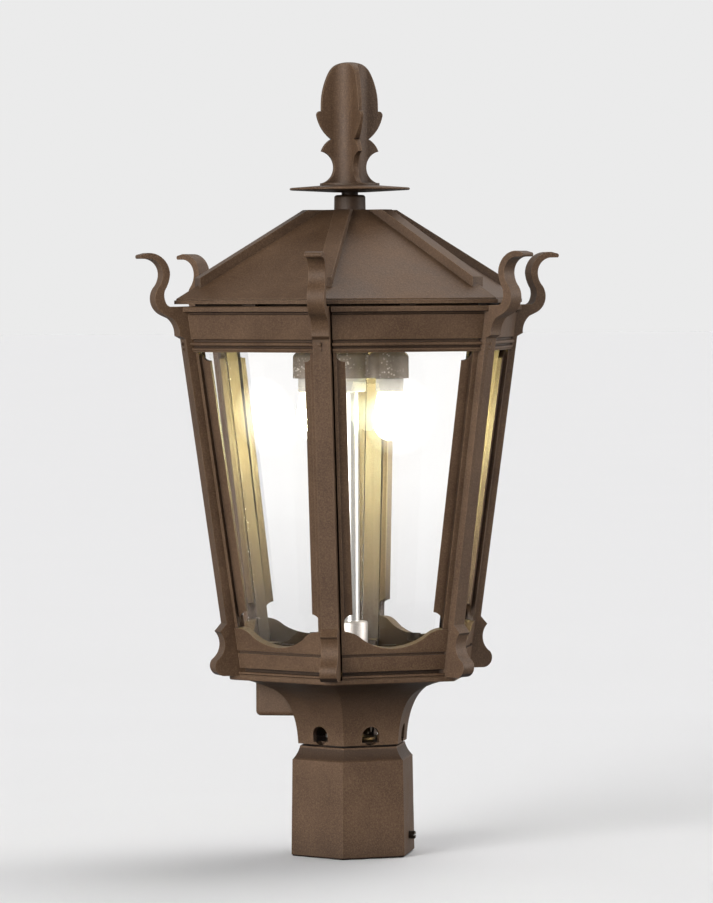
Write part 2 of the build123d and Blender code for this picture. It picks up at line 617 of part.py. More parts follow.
def roof():
    """Low six-sided roof with raised hip ribs, a moulded eave and a boss on top."""
    slope_low = EAVE_HIGH + 0.3
    outside = mirrored_polygon(
        [
            (EAVE_A, EAVE_LOW),
            (EAVE_A, EAVE_HIGH - 0.9),
            (ROOF_SLOPE_A, EAVE_HIGH - 0.6),
            (ROOF_SLOPE_A, slope_low),
            (ROOF_TOP_A, ROOF_TOP),
        ]
    )
    peak = (ROOF_TOP_A - 4, ROOF_TOP - ROOF_WALL * 1.2)
    inside = mirrored_polygon([(ROOF_INNER_A, EAVE_LOW - 1), (ROOF_INNER_A, EAVE_LOW + 2), peak])
    body = hex_vault(outside)
    slope = (ROOF_TOP - slope_low) / (ROOF_SLOPE_A - ROOF_TOP_A)
    rib_low = slope_low + (ROOF_SLOPE_A - RIB_END_R * HEX) * slope - 3
    rib_foot = ROOF_TOP - RIB_SLOPE * (RIB_END_R - RIB_TOP_R)
    rib = make_face(
        Polyline(
            (15, ROOF_TOP),
            (RIB_TOP_R, ROOF_TOP),
            (RIB_END_R, rib_foot),
            (RIB_END_R, rib_low),
            (15, ROOF_TOP - 12),
            close=True,
        )
    )
    rib_solid = extrude(Plane.XZ * rib, RIB_W / 2, both=True)
    for k in range(SIDES):
        body += around(rib_solid, HALF_ANGLE + STEP_ANGLE * k)
    body -= hex_vault(inside)
    lip_high = EAVE_LOW + 2 + (ROOF_INNER_A - LIP_A) * slope + 3
    body += hex_prism(LIP_A, LIP_LOW, lip_high) - hex_prism(LIP_A - LIP_T, LIP_LOW, lip_high)
    boss_h = BOSS_TOP - ROOF_TOP
    boss = extrude(Circle(BOSS_R), boss_h + 6, taper=1.0)
    boss = fillet(boss.edges().group_by(Axis.Z)[-1], 2.2)
    body += Pos(0, 0, ROOF_TOP - 6) * boss
    body -= Pos(0, 0, ROOF_TOP) * Cylinder(TIE_R + RUNNING, 40)
    for angle in FACES.values():
        pad = Pos(ROOF_INNER_A + 5, 0, (SIDE_TOP + EAVE_LOW) / 2 + 0.5) * Box(5, 12, EAVE_LOW - SIDE_TOP + 1)
        body += around(pad, angle)
    return body


def disc_spacer():
    """Short round spacer between the roof's boss and the disc."""
    height = SPACER_TOP - BOSS_TOP
    ring = Cylinder(SPACER_R, height) - Cylinder(TIE_R + RUNNING, height)
    return Pos(0, 0, BOSS_TOP + height / 2) * ring


def cap_disc():
    """Thin domed disc under the finial."""
    mid = DISC_Z + DISC_MID / 2
    flat_r = 14.0
    rim_low, rim_high = mid - DISC_EDGE / 2, mid + DISC_EDGE / 2
    edges = [
        Polyline((0, DISC_Z), (flat_r, DISC_Z), (DISC_R - 1, rim_low)),
        ThreePointArc((DISC_R - 1, rim_low), (DISC_R, mid), (DISC_R - 1, rim_high)),
        Polyline((DISC_R - 1, rim_high), (flat_r + 9, DISC_Z + DISC_MID), (0, DISC_Z + DISC_MID), (0, DISC_Z)),
    ]
    disc = revolve(Plane.XZ * make_face(Wire(Curve() + edges)), Axis.Z)
    return disc - Pos(0, 0, mid) * Cylinder(TIE_R + RUNNING, DISC_MID + 2)


def fin_plan():
    """Cross of four tapered fins joined by concave flutes."""
    tip, tip_half, root, root_half = 28.0, 1.0, 15.0, 2.1
    flute_r = root - root_half
    deep = root - flute_r / sqrt(2)
    quarter = [
        Line((tip, -tip_half), (tip, tip_half)),
        Line((tip, tip_half), (root, root_half)),
        ThreePointArc((root, root_half), (deep, deep), (root_half, root)),
        Line((root_half, root), (tip_half, tip)),
    ]
    edges = []
    for k in range(4):
        edges += [Rot(0, 0, 90 * k) * edge for edge in quarter]
    return make_face(Wire(Curve() + edges))


def finial():
    """Four-finned acorn finial: a turned outline that shows only on its fins."""
    edges = [
        Polyline((0, 0), (22.4, 0), (22.4, 1.8)),
        ThreePointArc((22.4, 1.8), (12.8, 13.1), (22.8, 25.5)),
        ThreePointArc((22.8, 25.5), (19.6, 31.0), (14.8, 34.8)),
        ThreePointArc((14.8, 34.8), (21.9, 42.0), (26.2, 51.8)),
        ThreePointArc((26.2, 51.8), (25.6, 54.8), (22.6, 55.6)),
        Spline((22.6, 55.6), (21.9, 68.0), (17.6, 82.0), (0, 92.6), tangents=((0, 1), (-1, 0))),
        Line((0, 92.6), (0, 0)),
    ]
    turned = revolve(Plane.XZ * make_face(Wire(Curve() + edges)), Axis.Z)
    body = turned & extrude(fin_plan(), 100)
    body += Pos(0, 0, 0.9) * Cylinder(22.4, 1.8)
    depth = TIE_TOP - FINIAL_BASE + 0.5
    body -= Pos(0, 0, depth / 2) * Cylinder(TIE_R + RUNNING, depth)
    return Pos(0, 0, FINIAL_BASE) * around(body, FIN_ANGLE)


# ---------------------------------------------------------------- burner
def round_post(radius, rounding, top):
    """Upright round lobe of the burner head, rounded over at its top."""
    bend = rounding * (1 - cos(radians(45)))
    edges = [
        Polyline((0, BURNER_LOW), (radius, BURNER_LOW), (radius, top - rounding)),
        ThreePointArc((radius, top - rounding), (radius - bend, top - bend), (radius - rounding, top)),
        Polyline((radius - rounding, top), (0, top), (0, BURNER_LOW)),
    ]
    return revolve(Plane.XZ * make_face(Wire(Curve() + edges)), Axis.Z)


def burner_manifold():
    """Cast two-outlet burner head: a hub, two end lobes and the gas way between."""
    body = round_post(BURNER_HUB_R, BURNER_ROUND, BURNER_TOP)
    way_top = BURNER_TOP - 3.0
    way = Pos(0, 0, (BURNER_LOW + 1 + way_top) / 2) * Box(2 * MANTLE_X, WAY_W, way_top - BURNER_LOW - 1)
    body += way
    for side in (-1, 1):
        body += Pos(side * MANTLE_X, 0, 0) * round_post(BURNER_LOBE_R, BURNER_ROUND, BURNER_TOP)
        for depth in (-1, 1):
            spot = Pos(side * WEB_X, depth * WEB_Y, 0)
            body += spot * round_post(WEB_R, BURNER_ROUND, BURNER_TOP - 0.6)
    body -= Pos(0, 0, BURNER_LOW) * Cylinder(TUBE_R - TUBE_WALL, 24)
    for side in (-1, 1):
        body -= Pos(side * MANTLE_X, 0, BURNER_LOW) * Cylinder(NOZZLE_BORE_R, 24)
    gas_way = Pos(0, 0, BURNER_LOW + 8) * Rot(0, 90, 0) * Cylinder(3.6, 2 * MANTLE_X)
    return body - gas_way


def nozzle(side):
    """Ceramic nozzle under one end of the burner head."""
    height = BURNER_LOW - NOZZLE_LOW
    body = Cylinder(NOZZLE_R, height)
    body = chamfer(body.edges().group_by(Axis.Z)[0], 1.0)
    body -= Cylinder(NOZZLE_BORE_R, height + 2)
    return Pos(side * MANTLE_X, 0, BURNER_LOW - height / 2) * body


def mantle(side):
    """Inverted mantle: a thin bag that hangs from its nozzle."""
    top, low, wall, neck = NOZZLE_LOW, MANTLE_LOW, MANTLE_WALL, MANTLE_NECK_R
    mid = low + MANTLE_R
    inner_r, bend = MANTLE_R - wall, cos(radians(45))
    edges = [
        ThreePointArc((0, low), (MANTLE_R * bend, mid - MANTLE_R * bend), (MANTLE_R, mid)),
        Line((MANTLE_R, mid), (neck, top)),
        Line((neck, top), (neck - wall, top)),
        Line((neck - wall, top), (inner_r, mid)),
        ThreePointArc((inner_r, mid), (inner_r * bend, mid - inner_r * bend), (0, low + wall)),
        Line((0, low + wall), (0, low)),
    ]
    bag = revolve(Plane.XZ * make_face(Wire(Curve() + edges)), Axis.Z)
    return Pos(side * MANTLE_X, 0, 0) * bag


def tube_union():
    """Coupling ring that joins the gas tube to the burner head."""
    height = BURNER_LOW - NOZZLE_LOW
    ring = Cylinder(UNION_R, height)
    ring = chamfer(ring.edges().group_by(Axis.Z)[0], 1.0)
    ring -= Cylinder(TUBE_R + RUNNING, height + 2)
    return Pos(0, 0, BURNER_LOW - height / 2) * ring


def venturi_tube():
    """Bright straight tube from the mixer up to the burner head."""
    low = MIXER_TOP - 12
    length = BURNER_LOW - low
    tube = Cylinder(TUBE_R, length) - Cylinder(TUBE_R - TUBE_WALL, length)
    return Pos(0, 0, low + length / 2) * tube


def mixer():
    """Air mixer that stands in the plate, with two air ports under it."""
    edges = [
        Polyline((0, MIXER_LOW), (SPIGOT_R, MIXER_LOW), (SPIGOT_R, PLATE_TOP), (MIXER_R, PLATE_TOP)),
        Line((MIXER_R, PLATE_TOP), (MIXER_R, MIXER_TOP - 1.5)),
        ThreePointArc((MIXER_R, MIXER_TOP - 1.5), (MIXER_R - 0.5, MIXER_TOP - 0.5), (MIXER_R - 1.5, MIXER_TOP)),
        Polyline((MIXER_R - 1.5, MIXER_TOP), (0, MIXER_TOP), (0, MIXER_LOW)),
    ]
    body = revolve(Plane.XZ * make_face(Wire(Curve() + edges)), Axis.Z)
    body -= Pos(0, 0, MIXER_TOP - 6) * Cylinder(TUBE_R + RUNNING, 12)
    bore_low = MIXER_LOW + 3
    body -= Pos(0, 0, (bore_low + MIXER_TOP) / 2) * Cylinder(TUBE_R - TUBE_WALL, MIXER_TOP - bore_low)
    body -= Pos(0, 0, MIXER_LOW) * Cylinder(PORT_R + RUNNING, 20)
    body -= Pos(0, 0, SHUTTER_LOW + SHUTTER_H / 2) * Rot(0, 90, 0) * Cylinder(PORT_R, 60)
    return body


def air_shutter():
    """Thumb ring with two ports that turns round the mixer's foot."""
    ring = Cylinder(SHUTTER_R, SHUTTER_H)
    for k in range(18):
        ring -= Rot(0, 0, 20 * k) * Pos(SHUTTER_R + 0.6, 0, 0) * Cylinder(1.2, SHUTTER_H)
    ring -= Cylinder(SPIGOT_R + RUNNING, SHUTTER_H)
    ring -= Rot(0, 90, 0) * Cylinder(PORT_R, 60)
    return Pos(0, 0, SHUTTER_LOW + SHUTTER_H / 2) * ring


def mixer_nut():
    """Large nut that clamps the mixer to the base plate from below."""
    low = SHUTTER_LOW + SHUTTER_H + 0.4
    return Pos(0, 0, low) * hex_nut(SPIGOT_R + RUNNING, 26, BELL_TOP - low)


def orifice():
    """Threaded gas orifice between the cock and the mixer."""
    body = Pos(0, 0, (COCK_TOP - 6 + MIXER_LOW + 8) / 2) * Cylinder(PORT_R, MIXER_LOW + 14 - COCK_TOP)
    hexagon = extrude(RegularPolygon(5.5 / HEX, 6), MIXER_LOW - COCK_TOP)
    body += Pos(0, 0, COCK_TOP) * hexagon
    return body - Pos(0, 0, MIXER_LOW) * Cylinder(0.6, 40)


def gas_cock_body():
    """Straight gas cock: inlet below, orifice above, plug from the right."""
    height = COCK_TOP - COCK_LOW
    body = Pos(0, 0, COCK_LOW + height / 2) * Cylinder(COCK_R, height)
    body += Pos(0, 0, (INLET_LOW + COCK_LOW) / 2) * Cylinder(INLET_R + INLET_WALL, COCK_LOW - INLET_LOW)
    body += Pos(6, 0, COCK_Z) * Rot(0, 90, 0) * Cylinder(7.0, 12)
    body -= Pos(0, 0, INLET_LOW + 6) * Cylinder(INLET_R, 12)
    body -= Pos(0, 0, COCK_LOW + 10) * Cylinder(2.0, 24)
    body -= Pos(3, 0, COCK_Z) * Rot(0, 90, 0) * Cylinder(COCK_PLUG_R + RUNNING, 18.02)
    body -= Pos(0, 0, COCK_TOP - 3) * Cylinder(PORT_R + RUNNING, 6.02)
    return body


def gas_cock_plug():
    """Tapered plug of the gas cock with a slotted end facing an arched vent."""
    body = Pos(4, 0, COCK_Z) * Rot(0, 90, 0) * Cylinder(COCK_PLUG_R, 19.6)
    body -= Pos(0, 0, COCK_Z) * Cylinder(2.0, 20)
    collar = Pos(13.2, 0, COCK_Z) * Rot(0, 90, 0) * Cylinder(5.5, 2.0)
    slot = Pos(14.2, 0, COCK_Z) * Box(3.0, 14, 1.4)
    return body + collar - slot


def gas_seat():
    """Flanged bush that carries the gas cock in the collar's top hole."""
    flange_low = COCK_LOW - SEAT_FLANGE_T
    plug_low = COLLAR_TOP - SEAT_PLUG
    ring = Pos(0, 0, COCK_LOW - SEAT_FLANGE_T / 2) * Cylinder(GAS_PASSAGE_R + 3, SEAT_FLANGE_T)
    plug = Pos(0, 0, (plug_low + flange_low) / 2)
    ring += plug * Cylinder(GAS_PASSAGE_R - RUNNING, flange_low - plug_low)
    return ring - Pos(0, 0, COCK_LOW) * Cylinder(INLET_R + INLET_WALL + RUNNING, 40)


# ---------------------------------------------------------------- control box
def control_box():
    """Small cast housing hung under the plate on the left, shaped to the bell."""
    depth = BELL_TOP - BOX_LOW
    middle = -(BOX_OUT + BOX_IN) / 2
    block = Box(BOX_OUT - BOX_IN, 2 * BOX_HALF_W, depth)
    block = fillet(block.edges().filter_by(Axis.Z).group_by(Axis.X)[0], BOX_ROUND)
    block = fillet(block.edges().group_by(Axis.Z)[0], BOX_LOW_ROUND)
    shell = Pos(middle, 0, BELL_TOP - depth / 2) * block
    hollow_l = BOX_OUT - BOX_IN - BOX_WALL
    hollow = Box(hollow_l, 2 * (BOX_HALF_W - BOX_WALL), depth - BOX_WALL)
    shell -= Pos(middle + BOX_WALL / 2, 0, BELL_TOP - (depth - BOX_WALL) / 2) * hollow
    for side in (-1, 1):
        spot = Pos(-BOX_OUT + 7.5, side * (BOX_HALF_W - 7), BELL_TOP)
        shell += spot * Pos(0, 0, -8) * Cylinder(4.5, 16)
        shell -= spot * Pos(0, 0, -5) * Cylinder(SCREW_R + RUNNING, 10.02)
    shell -= bell_envelope(-0.15, BELL_BOTTOM, BELL_TOP + 5)
    return shell


NODES = {
    "post_collar": post_collar,
    "collar_set_screws": collar_set_screws,
    "base_bell": base_bell,
    "bell_screws": bell_screws,
    "base_plate": base_plate,
    "plate_screws": plate_screws,
    "corner_bolts": corner_bolts,
    "frame_screws": frame_screws,
    "glass_clips": glass_clips,
    "bridge_bar": bridge_bar,
    "bridge_screws": bridge_screws,
    "tie_rod": tie_rod,
    "tie_nuts": tie_nuts,
    "roof": roof,
    "disc_spacer": disc_spacer,
    "cap_disc": cap_disc,
    "finial": finial,
    "burner_manifold": burner_manifold,
    "tube_union": tube_union,
    "venturi_tube": venturi_tube,
    "mixer": mixer,
    "mixer_nut": mixer_nut,
    "air_shutter": air_shutter,
    "orifice": orifice,
    "gas_cock_body": gas_cock_body,
    "gas_cock_plug": gas_cock_plug,
    "gas_seat": gas_seat,
    "control_box": control_box,
}

for name, make in NODES.items():
    export_step(make(), f"parts/{name}.step")

casting = side_casting()
pane = glass_pane()
for face, direction in FACES.items():
    export_step(around(casting, direction), f"parts/side_frame_{face}.step")
    export_step(around(pane, direction), f"parts/glass_{face}.step")
for side_name, sign in (("left", -1), ("right", 1)):
    export_step(nozzle(sign), f"parts/nozzle_{side_name}.step")
    export_step(mantle(sign), f"parts/mantle_{side_name}.step")
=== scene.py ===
"""Looks of a six-sided post top lantern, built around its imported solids."""

import json
import logging
import math
from dataclasses import dataclass, field
from enum import Enum
from typing import Sequence

import bpy
from mathutils import Matrix, Vector

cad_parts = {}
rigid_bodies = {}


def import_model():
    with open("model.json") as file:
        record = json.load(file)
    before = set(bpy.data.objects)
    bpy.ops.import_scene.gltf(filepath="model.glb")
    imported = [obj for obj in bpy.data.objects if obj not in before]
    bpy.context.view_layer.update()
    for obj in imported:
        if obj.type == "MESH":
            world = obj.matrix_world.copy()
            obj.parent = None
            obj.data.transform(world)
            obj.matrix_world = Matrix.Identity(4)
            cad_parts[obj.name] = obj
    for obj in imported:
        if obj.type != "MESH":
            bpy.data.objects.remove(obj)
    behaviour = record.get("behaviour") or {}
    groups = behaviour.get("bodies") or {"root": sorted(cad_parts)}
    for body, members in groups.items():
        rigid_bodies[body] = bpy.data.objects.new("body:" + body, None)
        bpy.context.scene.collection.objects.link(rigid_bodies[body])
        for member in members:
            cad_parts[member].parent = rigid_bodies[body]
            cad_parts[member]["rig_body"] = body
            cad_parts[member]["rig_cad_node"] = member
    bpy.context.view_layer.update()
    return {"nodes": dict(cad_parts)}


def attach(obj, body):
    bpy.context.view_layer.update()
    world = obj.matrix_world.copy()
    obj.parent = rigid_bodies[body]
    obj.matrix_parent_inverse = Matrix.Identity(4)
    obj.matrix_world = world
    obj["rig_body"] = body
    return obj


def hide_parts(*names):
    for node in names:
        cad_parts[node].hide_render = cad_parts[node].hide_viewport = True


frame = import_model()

LOG = logging.getLogger("lantern")
MM = 0.001
BASE = "base"
FACES = {
    "front_left": 240.0,
    "front_right": -60.0,
    "right": 0.0,
    "back_right": 60.0,
    "back_left": 120.0,
    "left": 180.0,
}

# The side castings' outer face and window, in metres: a size at one level and its change per metre.
FACE_LEVEL, FACE_REACH, FACE_LEAN = 0.380, 0.113, 0.1258
WINDOW_LEVEL, WINDOW_HALF, WINDOW_FLARE = 0.3434, 0.0406, 0.07263

WELD = 1e-6
LEAST_RADIUS = 0.02
ON_AXIS = 1e-5

Colour = tuple[float, float, float, float]
Material = bpy.types.Material
Node = bpy.types.Node
Piece = bpy.types.Object
Profile = Sequence[tuple[float, float]]
Socket = bpy.types.NodeSocket
Tree = bpy.types.NodeTree


# ---------------------------------------------------------------- modelling by hand
def deselect() -> None:
    """Go to object mode and leave nothing selected."""
    if bpy.context.object and bpy.context.object.mode != "OBJECT":
        bpy.ops.object.mode_set(mode="OBJECT")
    bpy.ops.object.select_all(action="DESELECT")


def activate(piece: Piece) -> None:
    """Select one piece alone and make it the active one.

    Args:
        piece: the piece that the next operators act on.
    """
    deselect()
    piece.select_set(True)
    bpy.context.view_layer.objects.active = piece


def settle(piece: Piece) -> None:
    """Move a piece's place, turn and scale into its mesh."""
    activate(piece)
    bpy.ops.object.transform_apply(location=True, rotation=True, scale=True)


def close_up(piece: Piece, distance: float) -> None:
    """Merge a piece's doubled points and turn its faces outwards.

    Args:
        piece: the mesh to mend.
        distance: points nearer than this many millimetres become one.
    """
    activate(piece)
    bpy.ops.object.mode_set(mode="EDIT")
    bpy.ops.mesh.select_all(action="SELECT")
    bpy.ops.mesh.remove_doubles(threshold=distance * MM)
    bpy.ops.mesh.normals_make_consistent(inside=False)
    bpy.ops.object.mode_set(mode="OBJECT")


def smooth(piece: Piece, degrees: float = 32.0) -> None:
    """Shade a piece smooth, but keep edges sharper than an angle crisp."""
    activate(piece)
    bpy.ops.object.shade_smooth_by_angle(angle=math.radians(degrees))


def turned(name: str, profile: Profile, sides: int) -> Piece:
    """Turn a piece about Z by extruding and scaling one ring up its profile.

    Args:
        name: the new piece's name.
        profile: (radius, height) points in millimetres; a profile that ends
            where it began makes a closed ring.
        sides: faces round the axis.

    Returns:
        The new piece, closed and facing outwards.
    """
    deselect()
    radius, height = max(profile[0][0], LEAST_RADIUS), profile[0][1]
    bpy.ops.mesh.primitive_circle_add(vertices=sides, radius=radius * MM, location=(0, 0, height * MM))
    piece = bpy.context.object
    piece.name = name
    bpy.ops.object.transform_apply(location=True)
    bpy.ops.object.mode_set(mode="EDIT")
    bpy.ops.mesh.select_all(action="SELECT")
    for next_radius, next_height in profile[1:]:
        next_radius = max(next_radius, LEAST_RADIUS)
        rise = (0, 0, (next_height - height) * MM)
        bpy.ops.mesh.extrude_edges_move(TRANSFORM_OT_translate={"value": rise})
        grow = next_radius / radius
        bpy.ops.transform.resize(value=(grow, grow, 1), center_override=(0, 0, 0))
        radius, height = next_radius, next_height
    bpy.ops.object.mode_set(mode="OBJECT")
    close_up(piece, 0.05)
    return piece


def rounded(start: tuple[float, float], end: tuple[float, float], bulge: float, steps: int) -> Profile:
    """Points along an arc between two profile points.

    Args:
        start: first (radius, height) point.
        end: last point.
        bulge: how far the arc stands off its chord, positive to the right.
        steps: spans along the arc.

    Returns:
        The points after start, up to and with end.
    """
    dx, dy = end[0] - start[0], end[1] - start[1]
    length = math.hypot(dx, dy)
    nx, ny = dy / length, -dx / length
    points = []
    for k in range(1, steps + 1):
        t = k / steps
        off = bulge * 4 * t * (1 - t)
        points.append((start[0] + dx * t + nx * off, start[1] + dy * t + ny * off))
    return points


def casting_copy(node: str, name: str, degrees: float = 32.0) -> Piece:
    """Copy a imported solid, weld its loose triangles and shade its curves smooth.

    Args:
        node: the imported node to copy.
        name: the new piece's name.
        degrees: edges flatter than this are shaded smooth.

    Returns:
        The welded copy, which stands where the node stands.
    """
    source = frame["nodes"][node]
    activate(source)
    bpy.ops.object.duplicate()
    piece = bpy.context.object
    piece.name = name
    piece.parent = None
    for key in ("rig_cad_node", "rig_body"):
        if key in piece:
            del piece[key]
    bpy.ops.mesh.customdata_custom_splitnormals_clear()
    bpy.ops.object.mode_set(mode="EDIT")
    bpy.ops.mesh.select_all(action="SELECT")
    bpy.ops.mesh.remove_doubles(threshold=WELD)
    bpy.ops.object.mode_set(mode="OBJECT")
    smooth(piece, degrees)
    return piece


def face_plane(level: float) -> float:
    """How far the side castings' outer face lies from the axis at a height, in metres."""
    return FACE_REACH - FACE_LEAN * (FACE_LEVEL - level)


def half_window(level: float) -> float:
    """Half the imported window's width at a height, in metres."""
    return WINDOW_HALF - WINDOW_FLARE * (WINDOW_LEVEL - level)


def looking(angle: float) -> Vector:
    """The level direction at an angle from +X, in radians."""
    return Vector((math.cos(angle), math.sin(angle), 0))


def aside(angle: float) -> Vector:
    """The level direction square to the one that looks at an angle, in radians."""
    return Vector((-math.sin(angle), math.cos(angle), 0))


def finish_piece(piece: Piece, material: Material, body: str, nodes: Sequence[str]) -> None:
    """Dress a piece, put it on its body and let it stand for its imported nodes.

    Args:
        piece: the finished mesh.
        material: what it is made of.
        body: the moving body that it rides on.
        nodes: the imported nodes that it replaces.
    """
    piece.data.materials.clear()
    piece.data.materials.append(material)
    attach(piece, body)
    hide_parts(*nodes)
    LOG.info("piece %s on %s for %s: %d faces", piece.name, body, ", ".join(nodes), len(piece.data.polygons))


# ---------------------------------------------------------------- shader graphs
class Graph:
    """A node tree that is written down one node at a time."""

    def __init__(self, tree: Tree) -> None:
        """Keep the tree that the nodes go into."""
        self.tree = tree

    def feed(self, target: Socket, value: object) -> None:
        """Give an input its value.

        Args:
            target: the input.
            value: an output to link to it, or a plain value to set.
        """
        if isinstance(value, Socket):
            self.tree.links.new(value, target)
        else:
            target.default_value = value

    def add(self, kind: str, settings: dict | None = None, **inputs: object) -> Node:
        """Add a node and set or link its inputs.

        Args:
            kind: the node's type without its ShaderNode prefix.
            settings: the node's own properties.
            **inputs: input names, with _ for spaces, and a socket or a value each;
                a name of the form i0, i1 is an input's number.

        Returns:
            The new node.
        """
        node = self.tree.nodes.new(kind if kind.startswith("Node") else "ShaderNode" + kind)
        for key, value in (settings or {}).items():
            setattr(node, key, value)
        for key, value in inputs.items():
            numbered = key[0] == "i" and key[1:].isdigit()
            self.feed(node.inputs[int(key[1:])] if numbered else node.inputs[key.replace("_", " ")], value)
        return node

    def math(self, operation: str, a: object, b: object = 0.0) -> Socket:
        """Result of one arithmetic step."""
        return self.add("Math", {"operation": operation}, i0=a, i1=b).outputs[0]

    def times(self, a: object, b: object) -> Socket:
        """Product of two numbers."""
        return self.math("MULTIPLY", a, b)

    def dot(self, a: object, b: object) -> Socket:
        """Dot product of two vectors."""
        return self.add("VectorMath", {"operation": "DOT_PRODUCT"}, i0=a, i1=b).outputs["Value"]

    def scaled(self, vector: object, share: object) -> Socket:
        """Vector or colour times a number."""
        return self.add("VectorMath", {"operation": "SCALE"}, i0=vector, Scale=share).outputs[0]

    def mix(self, share: object, a: object, b: object) -> Socket:
        """Colour part of the way from a to b.

        Args:
            share: how far to go, from 0 to 1.
            a: the colour at 0.
            b: the colour at 1.

        Returns:
            The mixed colour.
        """
        node = self.add("Mix", {"data_type": "RGBA"})
        for number, value in ((0, share), (6, a), (7, b)):
            self.feed(node.inputs[number], value)
        return node.outputs[2]

    def band(
        self, value: object, low: float, high: float, to_low: float = 0.0, to_high: float = 1.0
    ) -> Socket:
        """Value moved from one range to another and held inside it.

        Args:
            value: what is moved.
            low: value that becomes to_low.
            high: value that becomes to_high.
            to_low: result at low.
            to_high: result at high.

        Returns:
            The moved value.
        """
        ends = {"From_Min": low, "From_Max": high, "To_Min": to_low, "To_Max": to_high}
        return self.add("MapRange", {"clamp": True}, Value=value, **ends).outputs[0]

    def noise(self, where: object, scale: object, detail: float = 3.0, rough: float = 0.5) -> Socket:
        """Soft noise between 0 and 1."""
        return self.add("TexNoise", Vector=where, Scale=scale, Detail=detail, Roughness=rough).outputs[0]

    def cells(self, where: object, scale: object) -> Socket:
        """Distance to the nearest of many scattered points."""
        return self.add("TexVoronoi", {"feature": "F1"}, Vector=where, Scale=scale).outputs["Distance"]

    def spot(self) -> Socket:
        """Place on the object, in metres."""
        return self.add("TexCoord").outputs["Object"]

    def parts(self, vector: object) -> Sequence[Socket]:
        """The three numbers of a vector."""
        return self.add("SeparateXYZ", Vector=vector).outputs

    def group(self, tree: Tree, **inputs: object) -> Node:
        """Place a shared group."""
        return self.add("Group", {"node_tree": tree}, **inputs)


def new_group(name: str, inputs: dict[str, float], outputs: dict[str, str]) -> tuple[Graph, Node, Node]:
    """Start a shader node group.

    Args:
        name: the group's name.
        inputs: number inputs and their usual values.
        outputs: output names and their socket types.

    Returns:
        The group's graph, its input node and its output node.
    """
    tree = bpy.data.node_groups.new(name, "ShaderNodeTree")
    for key, value in inputs.items():
        socket = tree.interface.new_socket(name=key, in_out="INPUT", socket_type="NodeSocketFloat")
        socket.default_value = value
    for key, kind in outputs.items():
        tree.interface.new_socket(name=key, in_out="OUTPUT", socket_type=kind)
    graph = Graph(tree)
    return graph, graph.add("NodeGroupInput"), graph.add("NodeGroupOutput")


NUMBER = "NodeSocketFloat"
VECTOR = "NodeSocketVector"


